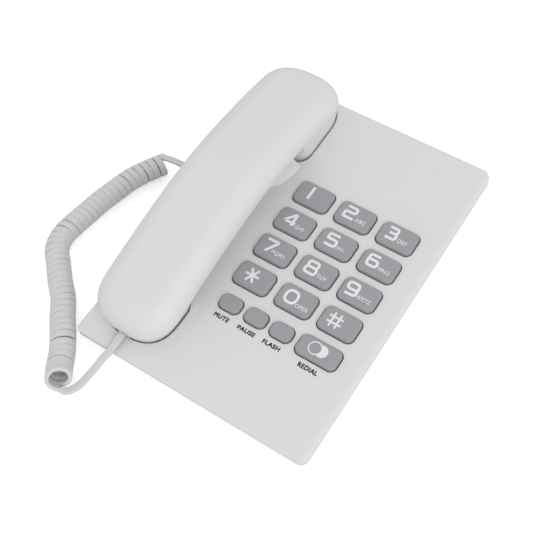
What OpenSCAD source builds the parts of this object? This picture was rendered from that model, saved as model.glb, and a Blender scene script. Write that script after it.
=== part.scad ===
// Corded desk telephone with a sloping base, large keys and a coiled handset cord.
// Millimetres, Z up. The origin is on the desk under the middle of the base.
// Everything on the base is placed in the frame of its sloping top face, called the
// deck frame here: X across, Y towards the back, Z out of the face, zero at its middle.

/* [Base] */
// Width of the base
base_w = 152; // [146:1:170]
// Length of the top face, front to back
base_l = 210; // [206:1:230]
// Slope of the top face, in degrees
base_tilt = 8; // [6:0.5:10]
// Height of the top face over the desk at its front edge
front_h = 14; // [13:0.5:20]
// Thickness of the top panel
deck_t = 2.4; // [2:0.1:3]
// Depth of the rim around the top panel
rim_h = 4; // [3.5:0.1:5]
// Corner radius of the front of the base
front_r = 5; // [3:0.5:8]
// Corner radius of the back of the base
back_r = 8; // [5:0.5:12]
// Rounding along the two long edges of the top face
side_round = 3.5; // [2:0.1:3.5]
// Rounding along the front and back edges of the top face
end_round = 1.5; // [1:0.1:2]
// Wall of the bottom case
case_wall = 2.2; // [1.8:0.1:2.6]
// How far the bottom case sits inside the rim
case_inset = 3; // [2.6:0.1:4]
// Lean of the side walls of the bottom case, in degrees from upright
side_lean = 30; // [20:1:32]
// Lean of the front wall of the bottom case, in degrees from upright
front_lean = 38; // [25:1:45]
// Height of the rubber feet under the bottom case
foot_h = 2; // [1.5:0.1:3]
// Diameter of a rubber foot
foot_d = 13; // [10:0.5:16]

/* [Keys] */
// Spacing of the number keys across
key_pitch_x = 28; // [27:0.5:29]
// Spacing of the number keys front to back
key_pitch_y = 21.2; // [20.5:0.1:22]
// Width of a number key
key_w = 22.6; // [20:0.2:23]
// Length of a number key
key_l = 15.4; // [13:0.2:15.6]
// Width of a small function key
small_w = 13.4; // [11:0.2:13.8]
// Length of a small function key
small_l = 9.6; // [8:0.2:10.4]
// Width of the redial key
redial_w = 25.4; // [23:0.2:26]
// Length of the redial key
redial_l = 12.8; // [11:0.2:13.2]
// Corner radius of a key
key_r = 3.6; // [2.5:0.1:4]
// Height of the keys over the top face
key_rise = 2.4; // [1.8:0.1:3]
// Travel of a key
key_travel = 1.5; // [1:0.1:1.8]
// Gap around a key
key_gap = 0.7; // [0.5:0.05:0.9]
// Lip that holds a key under the top panel
key_lip = 1.6; // [1.3:0.1:1.8]

/* [Handset] */
// Half of the handset's width
hand_w = 25.6; // [25:0.1:26.4]
// Middle of the handset, left of the middle of the base
hand_x = -48.2; // [-49:0.1:-48]
// Front end of the handset
hand_front = -95; // [-96:0.1:-93]
// Back end of the handset
hand_back = 107.2; // [106:0.1:108]
// Top of the handset's arch over the top face
hand_top = 35.8; // [35:0.1:40]
// Where along the handset its arch is highest
hand_peak = 10; // [8:0.5:14]
// Drop of the arch 100 mm in front of its highest point
drop_front = 15; // [12:0.5:18]
// Drop of the arch 100 mm behind its highest point
drop_back = 15; // [12:0.5:18]
// Thickness of the handle between the two ends
handle_t = 18.5; // [17.5:0.1:21]
// Height of the rounded upper edge
edge_h = 12.4; // [11:0.1:13]
// Inward reach of the rounded upper edge
edge_in = 12.8; // [10:0.1:13]
// Wall of the handset shells
shell_t = 2; // [1.6:0.1:2.4]
// Diameter of the receiver capsule
receiver_d = 32; // [28:1:34]
// Diameter of the microphone capsule
mic_d = 9.7; // [8:0.1:11]

/* [Cord] */
// Width of the flat cord
cord_w = 4.2; // [4:0.1:4.4]
// Thickness of the flat cord
cord_t = 2.4; // [2.2:0.1:2.6]
// Outside diameter of the coiled stretch
coil_d = 15; // [14:0.1:15.4]

/* [Sockets] */
// Width of the opening of a handset-cord socket
jack_w = 7.9; // [7.8:0.05:8.2]
// Height of the opening of a handset-cord socket
jack_h = 6.8; // [6.7:0.05:7.2]
// Width of the opening of the line socket
line_w = 9.9; // [9.8:0.05:10.3]
// Height of the opening of the line socket
line_h = 7; // [6.8:0.05:7.4]

/* [Hidden] */
$fn = 48;

case_colour = [0.87, 0.87, 0.86];
key_colour = [0.61, 0.61, 0.63];
board_colour = [0.16, 0.38, 0.24];
steel_colour = [0.66, 0.67, 0.68];
rubber_colour = [0.2, 0.2, 0.2];
clear_colour = [0.86, 0.87, 0.86];
cord_colour = [0.82, 0.82, 0.81];

touch_gap = 0.3;      // gap between a moving piece and its seat
fit_gap = 0.15;       // gap on each side of a piece that is pushed into another
eps = 0.01;           // overlap that joins two shapes of one piece

// ---- the deck frame ----
deck_z = front_h + base_l / 2 * sin(base_tilt);
deck_y = -rim_h * sin(base_tilt) / 2;
deck_bottom = -deck_t;
below = 60;           // deep enough to reach below the desk from the deck

// ---- outline of the bottom case, in the upright frame ----
floor_z = foot_h;
case_front_top = -base_l / 2 * cos(base_tilt) + case_inset;
front_case_h = front_h - rim_h + case_inset * tan(base_tilt);
case_front_bottom = case_front_top + (front_case_h - floor_z) * tan(front_lean);
case_back = base_l / 2 * cos(base_tilt) - case_inset;
floor_top = floor_z + case_wall;

// ---- keys ----
key_x = -6.1;         // middle of the first column
key_y = 36.7;         // middle of the first row
small_y = -47.2;
small_x = [-8.4, 8.6, 25.4];
redial_x = 49;
lip_top = deck_bottom - touch_gap;
lip_t = 1.2;
key_wall = 1.2;
key_roof = 1.4;
key_edge = 1;         // rounding of a key's upper edges

// ---- keypad mat and board ----
mat_top = lip_top - lip_t - key_travel - 0.8;
mat_t = 1;
board_top = mat_top - mat_t;
board_t = 1.6;
board_bottom = board_top - board_t;
dome_h = 4.4;
dome_taper = 0.6;
mat_box = [[-20.5, -56], [base_w / 2 - 13.2, 47]];
board_box = [[-28, -64], [base_w / 2 - 9, 54]];
board_screw_at = [[-24.4, -50], [-24.4, 45], [base_w / 2 - 12.5, -60.5], [base_w / 2 - 12.5, 50.5]];
board_boss_r = 2.4;
board_pilot_r = 1.25;
screw_gap = 0.05;
board_head_r = 2.3;
board_head_h = 1.6;

// ---- case screws ----
case_screw_at = [[base_w / 2 - 19, -base_l / 2 + 18], [base_w / 2 - 30, base_l / 2 - 17],
                 [-base_w / 2 + 24, -42], [-base_w / 2 + 24, 36]];
boss_r = 3.4;
pilot_r = 1.35;
boss_end = -9;
web_t = 2.5;
case_head_r = 2.8;
case_head_h = 2;
counterbore_r = 3.2;
screw_hole_r = 1.7;
tube_r = 5;
shank_reach = -4;
pilot_spare = 0.4;
cross_w = 0.7;        // width of the cross in a screw's head

// ---- feet, weight, sounder ----
foot_inset = 29;      // from the front and back edges of the top face to the middle of a foot
foot_at = [for (s = [-1, 1]) each [[s * (base_w / 2 - 24), -base_l / 2 + foot_inset],
                                  [s * (base_w / 2 - 34), base_l / 2 - foot_inset]]];
foot_sink = 0.8;
weight_size = [74, 44, 3];
weight_at = [8, 44];
sounder_at = [20, -16];
sounder_d = 27;
sounder_h = 5;
sounder_hole_r = 1;
sounder_ring = 7;

// ---- handset ----
end_front = 23.8;       // length of the rounded front end
end_back = 23.5;        // length of the rounded back end
end_n_front = 2.6;    // squareness of the rounded ends
end_n_back = 2.4;
arch_run = 100;       // where the arch's drops are given
arch_n_front = 1.5;   // power of the arch's drop
arch_n_back = 1.8;
draft = 2;            // lean of the lower side wall
low_edge = 3;         // rounding of the lower edge
ear_corner_r = 9;     // rounding of the ear cup's front corners
mouth_corner_r = 4;   // rounding of the mouth well's back corners
mouth_room = 0.7;     // spare width of the mouth well on the side of the keys
mouth_well_on = 2;    // reach of the mouth well behind the middle of the cup's back slope
mouth_taper = 0.12;   // share by which the mouth cup is narrower than the outline over it
taper_from = 19;      // behind the mouth cup's back end
taper_run = 15;
shelf = 1;            // height over which the ear cup's corners go in under the handle
well_depth = 4;
cup_z = -well_depth + touch_gap;
mouth_step = -64;     // back end of the flat mouth cup
mouth_run = 12;
ear_step = 55;        // front wall of the ear cup
ear_run = 2;
well_gap = 1;
well_floor = 2;

mouth_well_end = mouth_step + mouth_run / 2 + mouth_well_on;
mouth_open_from = hand_front + 17;
ear_well_end = ear_step - ear_run - well_gap;
saddle_in = 2.5;          // inside the handset's side
saddle_half = hand_w - saddle_in;
saddle_run = 33.2;
saddle_h = 8;
saddle_power = 3;       // squareness of its section
saddle_steps = 8;
ear_y = 79;
mouth_y = -72.6;
mic_h = 5;
receiver_h = 4;
magnet_h = 5;
magnet_d = 17.6;
gasket_t = 1;
gasket_ring = 3.5;
boot_wall = 1.2;
boot_floor = 1;
mouth_hole_r = 1;
mouth_hole_pitch = 6;
ear_hole_r = 1.2;
ear_hole_ring = 8;
hand_screw_at = [[-14.5, -72], [14.5, -72], [-15, 59], [15, 59]];
hand_boss_z = 0.6;
hand_boss_r = 3;
hand_pilot_r = 1.2;
hand_shank = 8;
hand_head_r = 2.2;
hand_head_h = 1.5;
hand_weight = [18, 56, 5];

// ---- hook plunger ----
hook_at = [hand_x, 66];
hook_size = [9, 6];
hook_travel = 3.6;
hook_len = 9;
hook_flange = 1.4;
hook_flange_t = 1.2;
hook_switch_size = [6, 10, 6.5];
tower_z = -20;
tower_size = [20, 12];
tower_shift = 3.5;
spring_d = 5;
spring_wire = 0.7;
spring_turns = 4;

// ---- sockets on the base, in the upright frame ----
base_jack_y = 27;
base_jack_z = 17;
base_jack_face = 11 - base_w / 2;
jack_block = [10.3, 12, 9.4];
jack_back = 1.5;
hand_jack_front = -89.4;
hand_jack_z = 3.9;
line_jack_x = base_w / 2 - 46;
line_jack_z = 17;
line_block = [15, 13, 14];
ringer_x = -14;
ringer_z = 18;
ringer_travel = 6;
ringer_slot = [12.6, 3.6];
ringer_body = [17, 6, 7];
ringer_stem = 6;
ringer_grip = [7, 1.6, 5];

// ---- plugs ----
plug_len = 11.5;
plug_out = 3.2;
latch_from = 4;
latch_t = 0.6;
hand_plug_back = -94;

// ---- routes of the cord, in the upright frame ----
coil_z = coil_d / 2 + 0.1;
coil_route = [[-112, 27, coil_z], [-118, 15, coil_z], [-122, 4, coil_z], [-124, -7, coil_z],
    [-126, -19, coil_z], [-127, -31, coil_z], [-128, -43, coil_z], [-128, -54, coil_z],
    [-124, -64, coil_z], [-116, -72, coil_z], [-107, -81, coil_z], [-97, -90, coil_z],
    [-89, -100, coil_z], [-81, -109, coil_z], [-74, -118, coil_z], [-68, -127, 9], [-62.5, -133.5, 12]];
base_lead_route = [[-110, 27.5, 13.6], [-107, 27, 14.8], [-102, 26.6, 16], [-96, 26.5, 16.6],
    [-88, 26.7, 17], [-80, 27, 17], [base_jack_face - plug_out, base_jack_y, base_jack_z]];
handset_lead_route = [[hand_x, -94.2, 19.3], [-48.3, -98.4, 18.2], [-48.7, -102.8, 16.2],
    [-49.3, -106.8, 14.6], [-50.3, -111, 13], [-51, -116, 10.8], [-52.3, -122, 8], [-54, -128, 5.4],
    [-56.5, -132.6, 4.4], [-59, -135, 5]];

// ======================= helpers =======================

module on_deck() {
    translate([0, deck_y, deck_z]) rotate([base_tilt, 0, 0]) children();
}

// Rectangle about the origin with round corners.
module round_rect(w, l, r) {
    square([w - 2 * r, l], center = true);
    square([w, l - 2 * r], center = true);
    for (sx = [-1, 1]) for (sy = [-1, 1])
        translate([sx * (w / 2 - r), sy * (l / 2 - r)]) circle(r);
}

// Base outline: small corners in front, larger ones behind.
module base_outline(inset = 0) {
    w = base_w / 2 - inset;
    l = base_l / 2 - inset;
    rf = max(front_r - inset, 1);
    rb = max(back_r - inset, 1);
    polygon([[-w, -l + rf], [-w + rf, -l], [w - rf, -l], [w, -l + rf],
             [w, l - rb], [w - rb, l], [-w + rb, l], [-w, l - rb]]);
    for (s = [-1, 1]) {
        translate([s * (w - rf), -l + rf]) circle(rf);
        translate([s * (w - rb), l - rb]) circle(rb);
    }
}

// Bar along Y with a cross-section w wide from z0 to z1, its two upper edges rounded.
module crowned_bar(w, len, z0, z1, r) {
    rotate([90, 0, 0]) linear_extrude(len, center = true) {
        translate([-w / 2, z0]) square([w, z1 - z0 - r]);
        translate([-w / 2 + r, z0]) square([w - 2 * r, z1 - z0]);
        for (s = [-1, 1]) translate([s * (w / 2 - r), z1 - r]) circle(r);
    }
}

module at_each(places) {
    for (p = places) translate([p[0], p[1], 0]) children();
}

// ======================= handset form =======================

function arch(y) = hand_top - (y < hand_peak
    ? drop_front * pow((hand_peak - y) / arch_run, arch_n_front)
    : drop_back * pow((y - hand_peak) / arch_run, arch_n_back));
function seam(y) = arch(y) - edge_h;
function smooth(t) = let (u = min(max(t, 0), 1)) u * u * (3 - 2 * u);
function under(y) = let (s = min(smooth((y - mouth_step) / mouth_run), smooth((ear_step - y) / ear_run)))
    cup_z * (1 - s) + (arch(y) - handle_t) * s;
function taper(y) = 1 - mouth_taper * smooth((mouth_step + taper_from - y) / taper_run);
function under_inner(y) = max(under(y - shell_t), under(y), under(y + shell_t)) + shell_t;

// One quarter of a rounded end: [x, y, normal x, normal y], tip first.
end_steps = 9;
function end_point(a, tip, len, n, s) = let (
    x = hand_w * pow(sin(a), 2 / n), u = pow(cos(a), 2 / n),
    nx = pow(x / hand_w, n - 1) / hand_w, ny = s * pow(u, n - 1) / len, d = norm([nx, ny]))
    [x, tip - s * len * (1 - u), nx / d, ny / d];
side_to = hand_back - end_back;
side_ys = concat([mouth_step - 2.4, mouth_step - 1], [for (y = [mouth_step + 1.5:5:ear_step - 5]) y],
                 [for (y = [ear_step - 3:0.75:ear_step + 1.5]) y],
                 [for (y = [ear_step + 3:2:ear_step + 7]) y],
                 [for (y = [ear_step + 12:5:side_to - 2]) y]);
right_half = concat(
    [for (i = [0:end_steps]) end_point(90 * i / end_steps, hand_front, end_front, end_n_front, -1)],
    [for (y = side_ys) [hand_w, y, 1, 0]],
    [for (i = [end_steps:-1:0]) end_point(90 * i / end_steps, hand_back, end_back, end_n_back, 1)]);
half_n = len(right_half);
// The whole outline, anticlockwise from the front tip.
loop_pts = concat(right_half,
    [for (i = [half_n - 2:-1:1]) [-right_half[i][0], right_half[i][1], -right_half[i][2], right_half[i][3]]]);
loop_n = len(loop_pts);

// Extra inset of the ear cup's two front corners, below the handle.
function ear_corner(y) = let (d = y - ear_step)
    d < -ear_run || d > ear_corner_r ? 0
    : d < 0 ? ear_corner_r : ear_corner_r - sqrt(pow(ear_corner_r, 2) - pow(ear_corner_r - d, 2));
function below_handle(y, z) = min(max((arch(y) - handle_t - z) / shelf, 0), 1);

// Levels of the form: the outline moved in by a reach, and set to the height there. The
// side wall has four levels, f = 0 to 3: the seam, the handle's underside, the shelf and the rim.
function upper_level(a, t) = let (reach = t + (edge_in - t) * (1 - cos(a)), h = (edge_h - t) * sin(a))
    [for (p = loop_pts) let (y = p[1] - p[3] * reach) [p[0] - p[2] * reach, y, seam(y) + h]];
function wall_share(f, drop) = f == 0 ? 0 : f == 3 ? 1
    : f == 1 ? min((handle_t - edge_h) / drop, 0.6) : min((handle_t - edge_h + shelf) / drop, 0.8);
function low_level(f, a, t) = [for (p = loop_pts) let (
        base0 = t > 0 ? under_inner(p[1]) : under(p[1]),
        share = wall_share(f, seam(p[1]) - base0 - low_edge),
        reach = t + draft * share + low_edge * (1 - cos(a)),
        y = p[1] - p[3] * reach,
        base = t > 0 ? under_inner(y) : under(y),
        rim = base + low_edge,
        z = a > 0 ? rim - low_edge * sin(a) : seam(y) + (rim - seam(y)) * share,
        x = (p[0] - p[2] * reach) * (1 - (1 - taper(y)) * share))
    [x - sign(p[0]) * ear_corner(y) * below_handle(y, z), y, z]];

// Closed skin through levels of loop_n points, its two ends closed by strips across the form.
function ring_faces(count) = [for (k = [0:count - 2]) for (i = [0:loop_n - 1]) let (
        j = (i + 1) % loop_n, a = k * loop_n, b = a + loop_n)
    each [[a + i, a + j, b + j], [a + i, b + j, b + i]]];
function opposite(i) = (loop_n - i) % loop_n;
function cap_faces(first) = [for (i = [0:half_n - 2]) let (b = i + 1, c = opposite(b), d = opposite(i))
    each [if (b != c) [first + c, first + b, first + i], if (d != i) [first + d, first + c, first + i]]];
function turned(faces) = [for (f = faces) [f[2], f[1], f[0]]];

module skin(levels, top_first) {
    count = len(levels);
    faces = concat(ring_faces(count), cap_faces(0), turned(cap_faces((count - 1) * loop_n)));
    polyhedron([for (l = levels) each l], top_first ? faces : turned(faces));
}

// Tube through rings of points that all have the same count, with flat ends.
module tube(rings) {
    n = len(rings[0]);
    last = (len(rings) - 1) * n;
    polyhedron([for (r = rings) each r], concat(
        [[for (i = [0:n - 1]) i]],
        [for (k = [0:len(rings) - 2]) for (i = [0:n - 1]) let (j = (i + 1) % n, a = k * n, b = a + n)
            each [[a + i, b + i, b + j], [a + i, b + j, a + j]]],
        [[for (i = [n - 1:-1:0]) last + i]]));
}

// Directions along a route, and an oval of width w and thickness t across it at each point.
function unit(v) = v / norm(v);
function heading(route, i) = unit(route[min(i + 1, len(route) - 1)] - route[max(i - 1, 0)]);
function oval_rings(route, w, t, sides) = [for (i = [0:len(route) - 1]) let (
        d = heading(route, i), across = unit(cross(d, [0, 0, 1])), up = cross(across, d))
    [for (k = [0:sides - 1]) let (a = 360 * (k + 0.5) / sides)
        route[i] + across * w / 2 * cos(a) + up * t / 2 * sin(a)]];

// ======================= base =======================

// Bottom case without its hollow, or that hollow when the walls are taken in by i.
module case_form(i) {
    lift = i > 0 ? 1 : 0;
    side = base_w / 2 - case_inset - i / cos(side_lean);
    front = i / cos(front_lean);
    intersection() {
        rotate([90, 0, 90]) linear_extrude(base_w, center = true)
            polygon([[case_front_top + front, below], [case_front_top + front, front_case_h],
                     [case_front_bottom + front, floor_z + i], [case_back - i, floor_z + i],
                     [case_back - i, below]]);
        on_deck() rotate([90, 0, 0]) linear_extrude(base_l + below, center = true)
            polygon([[-side, 1], [-side, -rim_h], [-side + (below - rim_h) * tan(side_lean), -below],
                     [side - (below - rim_h) * tan(side_lean), -below], [side, -rim_h], [side, 1]]);
        on_deck() translate([0, 0, -below]) linear_extrude(below + deck_bottom + lift)
            base_outline(case_inset + i);
    }
}

// Plan of the two wells that take the ends of the handset, grown outward. Both run out
// through the left edge of the base, and the ear well through its back edge too.
module well_plan(grow) {
    reach = well_gap - draft + grow;
    wide = 2 * (hand_w + reach);
    intersection() {
        union() {
            translate([hand_x, 0])
                polygon([for (p = loop_pts) let (room = p[0] > 0 && p[1] < 0 ? mouth_room : 0)
                    [(p[0] + p[2] * reach) * taper(p[1]) + p[2] * room, p[1] + p[3] * reach]]);
            translate([hand_x - wide, mouth_open_from - grow])
                square([wide, mouth_well_end - mouth_open_from + 2 * grow]);
            translate([hand_x - wide, ear_well_end - grow]) square([wide, base_l]);
        }
        union() {
            translate([hand_x - wide / 2, mouth_well_end + grow - base_l / 2])
                round_rect(2 * wide, base_l, mouth_corner_r + grow);
            translate([hand_x, ear_well_end - grow + base_l / 2])
                round_rect(wide, base_l, ear_corner_r + well_gap + grow);
            translate([hand_x - wide, ear_well_end - grow]) square([wide, base_l]);
        }
    }
}

module well_blocks(gap = 0) {
    translate([0, 0, -well_depth - well_floor - gap]) linear_extrude(well_depth + well_floor + gap)
        intersection() {
            well_plan(well_floor + gap);
            base_outline();
        }
}

// Low domed hump in front of the ear well, under the handle: half of a long dome.
module saddle() {
    translate([hand_x, ear_well_end, 0]) intersection() {
        scale([1, saddle_run / saddle_half, 1]) rotate_extrude()
            polygon(concat([[0, deck_bottom]],
                [for (i = [0:saddle_steps]) let (u = i / saddle_steps)
                    [saddle_half * u, saddle_h * (1 - pow(u, saddle_power))]],
                [[saddle_half, deck_bottom]]));
        translate([-hand_w, -base_l, -base_l / 2]) cube([2 * hand_w, base_l, base_l]);
    }
}

module panel() {
    intersection() {
        translate([0, 0, -rim_h]) linear_extrude(rim_h) base_outline();
        crowned_bar(base_w, base_l, -rim_h, 0, side_round);
        rotate(90) crowned_bar(base_l, base_w, -rim_h, 0, end_round);
    }
}

// Each key: [name, x, y, width, length].
keys = concat(
    [for (i = [0:11]) [["1", "2", "3", "4", "5", "6", "7", "8", "9", "star", "0", "hash"][i],
                       key_x + (i % 3) * key_pitch_x, key_y - floor(i / 3) * key_pitch_y, key_w, key_l]],
    [for (i = [0:2]) [["mute", "pause", "flash"][i], small_x[i], small_y, small_w, small_l]],
    [["redial", redial_x, small_y, redial_w, redial_l]]);

module top_case() {
    color(case_colour) on_deck() difference() {
        union() {
            difference() {
                panel();
                translate([0, 0, -rim_h - 1]) linear_extrude(rim_h + 1 - deck_t) base_outline(case_wall);
            }
            well_blocks();
            saddle();
            translate([0, 0, boss_end]) at_each(case_screw_at)
                cylinder(h = -boss_end - deck_t / 2, r = boss_r);
            translate([0, 0, board_top]) at_each(board_screw_at)
                cylinder(h = -board_top - deck_t / 2, r = board_boss_r);
        }
        translate([0, 0, -well_depth]) linear_extrude(well_depth + saddle_h + 1) well_plan(0);
        translate([hook_at[0], hook_at[1], -well_depth - well_floor])
            cube([hook_size[0] + 2 * touch_gap, hook_size[1] + 2 * touch_gap,
                  2 * (well_depth + well_floor)], center = true);
        for (k = keys) translate([k[1], k[2], deck_bottom - 1]) linear_extrude(deck_t + 2)
            round_rect(k[3] + 2 * key_gap, k[4] + 2 * key_gap, key_r + key_gap);
        translate([0, 0, boss_end - 1]) at_each(case_screw_at)
            cylinder(h = shank_reach - boss_end + 1 + pilot_spare, r = pilot_r);
        translate([0, 0, board_top - 1]) at_each(board_screw_at)
            cylinder(h = shank_reach - board_top + 1 + pilot_spare, r = board_pilot_r);
    }
}

module bottom_case() {
    color(case_colour) difference() {
        union() {
            difference() {
                case_form(0);
                case_form(case_wall);
            }
            intersection() {
                case_form(0);
                on_deck() union() {
                    translate([0, 0, -below]) at_each(case_screw_at)
                        cylinder(h = below + boss_end, r = tube_r);
                    translate([hook_at[0] + tower_shift, hook_at[1], (tower_z - below) / 2])
                        cube([tower_size[0], tower_size[1], below + tower_z], center = true);
                }
            }
            translate([sounder_at[0], sounder_at[1], floor_z]) cylinder(h = case_wall + sounder_h / 2,
                r = sounder_d / 2 + fit_gap + 1.4);
        }
        on_deck() {
            well_blocks(fit_gap);
            translate([0, 0, -below]) at_each(case_screw_at) {
                cylinder(h = below + boss_end - web_t, r = counterbore_r);
                cylinder(h = below, r = screw_hole_r);
            }
        }
        translate([sounder_at[0], sounder_at[1], floor_top])
            cylinder(h = sounder_h, r = sounder_d / 2 + fit_gap);
        for (q = concat([[0, 0]], [for (a = [0:60:300]) sounder_ring * [cos(a), sin(a)]]))
            translate([sounder_at[0] + q[0], sounder_at[1] + q[1], floor_z - 1])
                cylinder(h = case_wall + 2, r = sounder_hole_r);
        at_each(foot_at) translate([0, 0, floor_z - 1]) cylinder(h = foot_sink + 1, d = foot_d + 2 * fit_gap);
        translate([line_jack_x, case_back, line_jack_z])
            cube([line_block[0] + 2 * fit_gap, 4 * case_wall, line_block[1] + 2 * fit_gap], center = true);
        translate([ringer_x, case_back, ringer_z])
            cube([ringer_slot[0], 4 * case_wall, ringer_slot[1]], center = true);
        translate([base_jack_face, base_jack_y, base_jack_z])
            cube([4 * jack_block[0], jack_block[1] + 2 * fit_gap, jack_block[2] + 2 * fit_gap],
                 center = true);
    }
}

module rubber_feet() {
    color(rubber_colour) at_each(foot_at) cylinder(h = foot_h + foot_sink, d = foot_d);
}

// Pan-head screw along Z, its head under z = 0.
module screw(r, len, head_r, head_h) {
    cylinder(h = len, r = r);
    translate([0, 0, -head_h]) difference() {
        cylinder(h = head_h, r = head_r);
        for (a = [0, 90]) rotate(a) translate([-head_r * 0.6, -cross_w / 2, -1])
            cube([head_r * 1.2, cross_w, 1 + head_h / 2]);
    }
}

module case_screws() {
    head_z = boss_end - web_t;
    color(steel_colour) on_deck() translate([0, 0, head_z]) at_each(case_screw_at)
        screw(pilot_r - screw_gap, shank_reach - head_z, case_head_r, case_head_h);
}

module board_screws() {
    color(steel_colour) on_deck() translate([0, 0, board_bottom]) at_each(board_screw_at)
        screw(board_pilot_r - screw_gap, shank_reach - board_bottom, board_head_r, board_head_h);
}

module deck_sheet(box, top, t) {
    translate([box[0][0], box[0][1], top - t])
        cube([box[1][0] - box[0][0], box[1][1] - box[0][1], t]);
}

module keypad_mat() {
    color([0.75, 0.75, 0.74]) on_deck() union() {
        deck_sheet(mat_box, mat_top, mat_t);
        for (k = keys) translate([k[1], k[2], mat_top - eps])
            cylinder(h = dome_h, r1 = dome_r(k), r2 = dome_r(k) * dome_taper);
    }
}
function dome_r(k) = min(4.2, k[4] / 2 - key_wall - 0.9);

module main_board() {
    color(board_colour) on_deck() difference() {
        deck_sheet(board_box, board_top, board_t);
        translate([0, 0, board_bottom - 1]) at_each(board_screw_at)
            cylinder(h = board_t + 2, r = board_pilot_r + 0.2);
    }
}

// Parts soldered under the board: [x, y, width, length, height].
chips = [[0, 10, 18, 8, 2.4], [28, 14, 10, 6, 1.8], [-12, -12, 12, 8, 2.2], [44, 4, 8, 5, 1.6],
         [-18, 30, 10, 5, 5]];
cans = [[14, 28, 3.2, 7], [26, 30, 2.5, 6], [40, 20, 4, 8], [8, -14, 2.5, 5]];
module board_parts() {
    color([0.12, 0.12, 0.13]) on_deck() translate([0, 0, board_bottom]) {
        for (c = chips) translate([c[0], c[1], -c[4] / 2]) cube([c[2], c[3], c[4]], center = true);
        for (c = cans) translate([c[0], c[1], -c[3]]) cylinder(h = c[3], r = c[2]);
    }
}

module key(name) {
    k = [for (q = keys) if (q[0] == name) q][0];
    bottom = lip_top - lip_t;
    color(key_colour) on_deck() translate([k[1], k[2], 0]) difference() {
        union() {
            intersection() {
                translate([0, 0, bottom]) linear_extrude(key_rise - bottom) round_rect(k[3], k[4], key_r);
                crowned_bar(k[3], k[4], bottom, key_rise, key_edge);
                rotate(90) crowned_bar(k[4], k[3], bottom, key_rise, key_edge);
            }
            translate([0, 0, bottom]) linear_extrude(lip_t)
                round_rect(k[3] + 2 * key_lip, k[4] + 2 * key_lip, key_r + key_lip);
        }
        translate([0, 0, bottom - 1]) linear_extrude(key_rise - key_roof - bottom + 1)
            round_rect(k[3] - 2 * key_wall, k[4] - 2 * key_wall, key_r - key_wall);
    }
}

module hook_plunger() {
    color(case_colour) on_deck() translate([hook_at[0], hook_at[1], 0]) {
        translate([0, 0, -well_depth - hook_len / 2])
            cube([hook_size[0], hook_size[1], hook_len], center = true);
        translate([0, 0, -well_depth - well_floor - touch_gap - hook_travel - hook_flange_t / 2])
            cube([hook_size[0] + 2 * hook_flange, hook_size[1] + 2 * hook_flange, hook_flange_t],
                 center = true);
    }
}

module hook_spring() {
    r = (spring_d - spring_wire) / 2;
    from = tower_z + spring_wire / 2;
    rise = -well_depth - hook_len - touch_gap - spring_wire / 2 - from;
    steps = 12 * spring_turns;
    wire = [for (i = [0:steps]) [r * cos(30 * i), r * sin(30 * i), from + rise * i / steps]];
    color(steel_colour) on_deck() translate([hook_at[0], hook_at[1], 0])
        tube(oval_rings(wire, spring_wire, spring_wire, 6));
}

module hook_switch() {
    tall = hook_switch_size[2];
    color([0.15, 0.15, 0.15]) on_deck() translate([hook_at[0] + tower_shift + tower_size[0] / 2
        - hook_switch_size[0] / 2, hook_at[1], tower_z]) {
        translate([0, 0, tall / 2]) cube(hook_switch_size, center = true);
        translate([0, 0, tall + 0.3]) cube([2, 4, 0.6], center = true);
    }
}

module sounder() {
    color([0.8, 0.7, 0.42]) translate([sounder_at[0], sounder_at[1], floor_top]) difference() {
        cylinder(h = sounder_h, d = sounder_d);
        translate([0, 0, -1]) cylinder(h = 1 + sounder_h / 2, d = sounder_d - 4);
    }
}

module ballast_plate() {
    color(steel_colour) translate([weight_at[0], weight_at[1], floor_top + weight_size[2] / 2])
        cube(weight_size, center = true);
}

// Block with its back wall whole and a socket w by h from its face at y = 0 into +Y.
module socket(block, w, h, deep) {
    difference() {
        translate([-block[1] / 2, 0, -block[2] / 2]) cube([block[1], block[0], block[2]]);
        translate([-w / 2, -1, -h / 2]) cube([w, deep + 1, h]);
        translate([-w / 4, -1, -h / 2 - 1]) cube([w / 2, deep + 1, 2]);
    }
}

module line_jack() {
    color(case_colour * 0.9) translate([line_jack_x, case_back, line_jack_z]) rotate(180)
        socket([line_block[2], line_block[0], line_block[1]], line_w, line_h, line_block[2] - 2);
}

module base_cord_jack() {
    color(case_colour * 0.9) translate([base_jack_face, base_jack_y, base_jack_z]) rotate(-90)
        socket(jack_block, jack_w, jack_h, jack_block[0] - jack_back);
}

module handset_cord_jack() {
    color(case_colour * 0.9) on_deck() translate([hand_x, hand_jack_front, hand_jack_z])
        socket(jack_block, jack_w, jack_h, jack_block[0] - jack_back);
}

// Modular plug along +Y from its back face at y = 0, latch below.
module plug() {
    w = jack_w - 2 * fit_gap;
    h = jack_h - 2 * fit_gap;
    translate([-w / 2, 0, -h / 2]) cube([w, plug_len, h]);
    translate([-w / 5, latch_from, -h / 2 - latch_t]) cube([w / 2.5, plug_len - latch_from, 2 * latch_t]);
}

module handset_plug() {
    color(clear_colour) on_deck() translate([hand_x, hand_plug_back, hand_jack_z]) plug();
}

module base_plug() {
    color(clear_colour) translate([base_jack_face - plug_out, base_jack_y, base_jack_z]) rotate(-90) plug();
}

module ringer_switch_body() {
    middle = case_back - case_wall - ringer_body[1] / 2;
    color([0.2, 0.2, 0.2]) translate([ringer_x, middle, ringer_z]) difference() {
        cube(ringer_body, center = true);
        translate([0, ringer_body[1] / 2, 0])
            cube([ringer_slot[0], ringer_body[1], ringer_slot[1]], center = true);
    }
}

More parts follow.
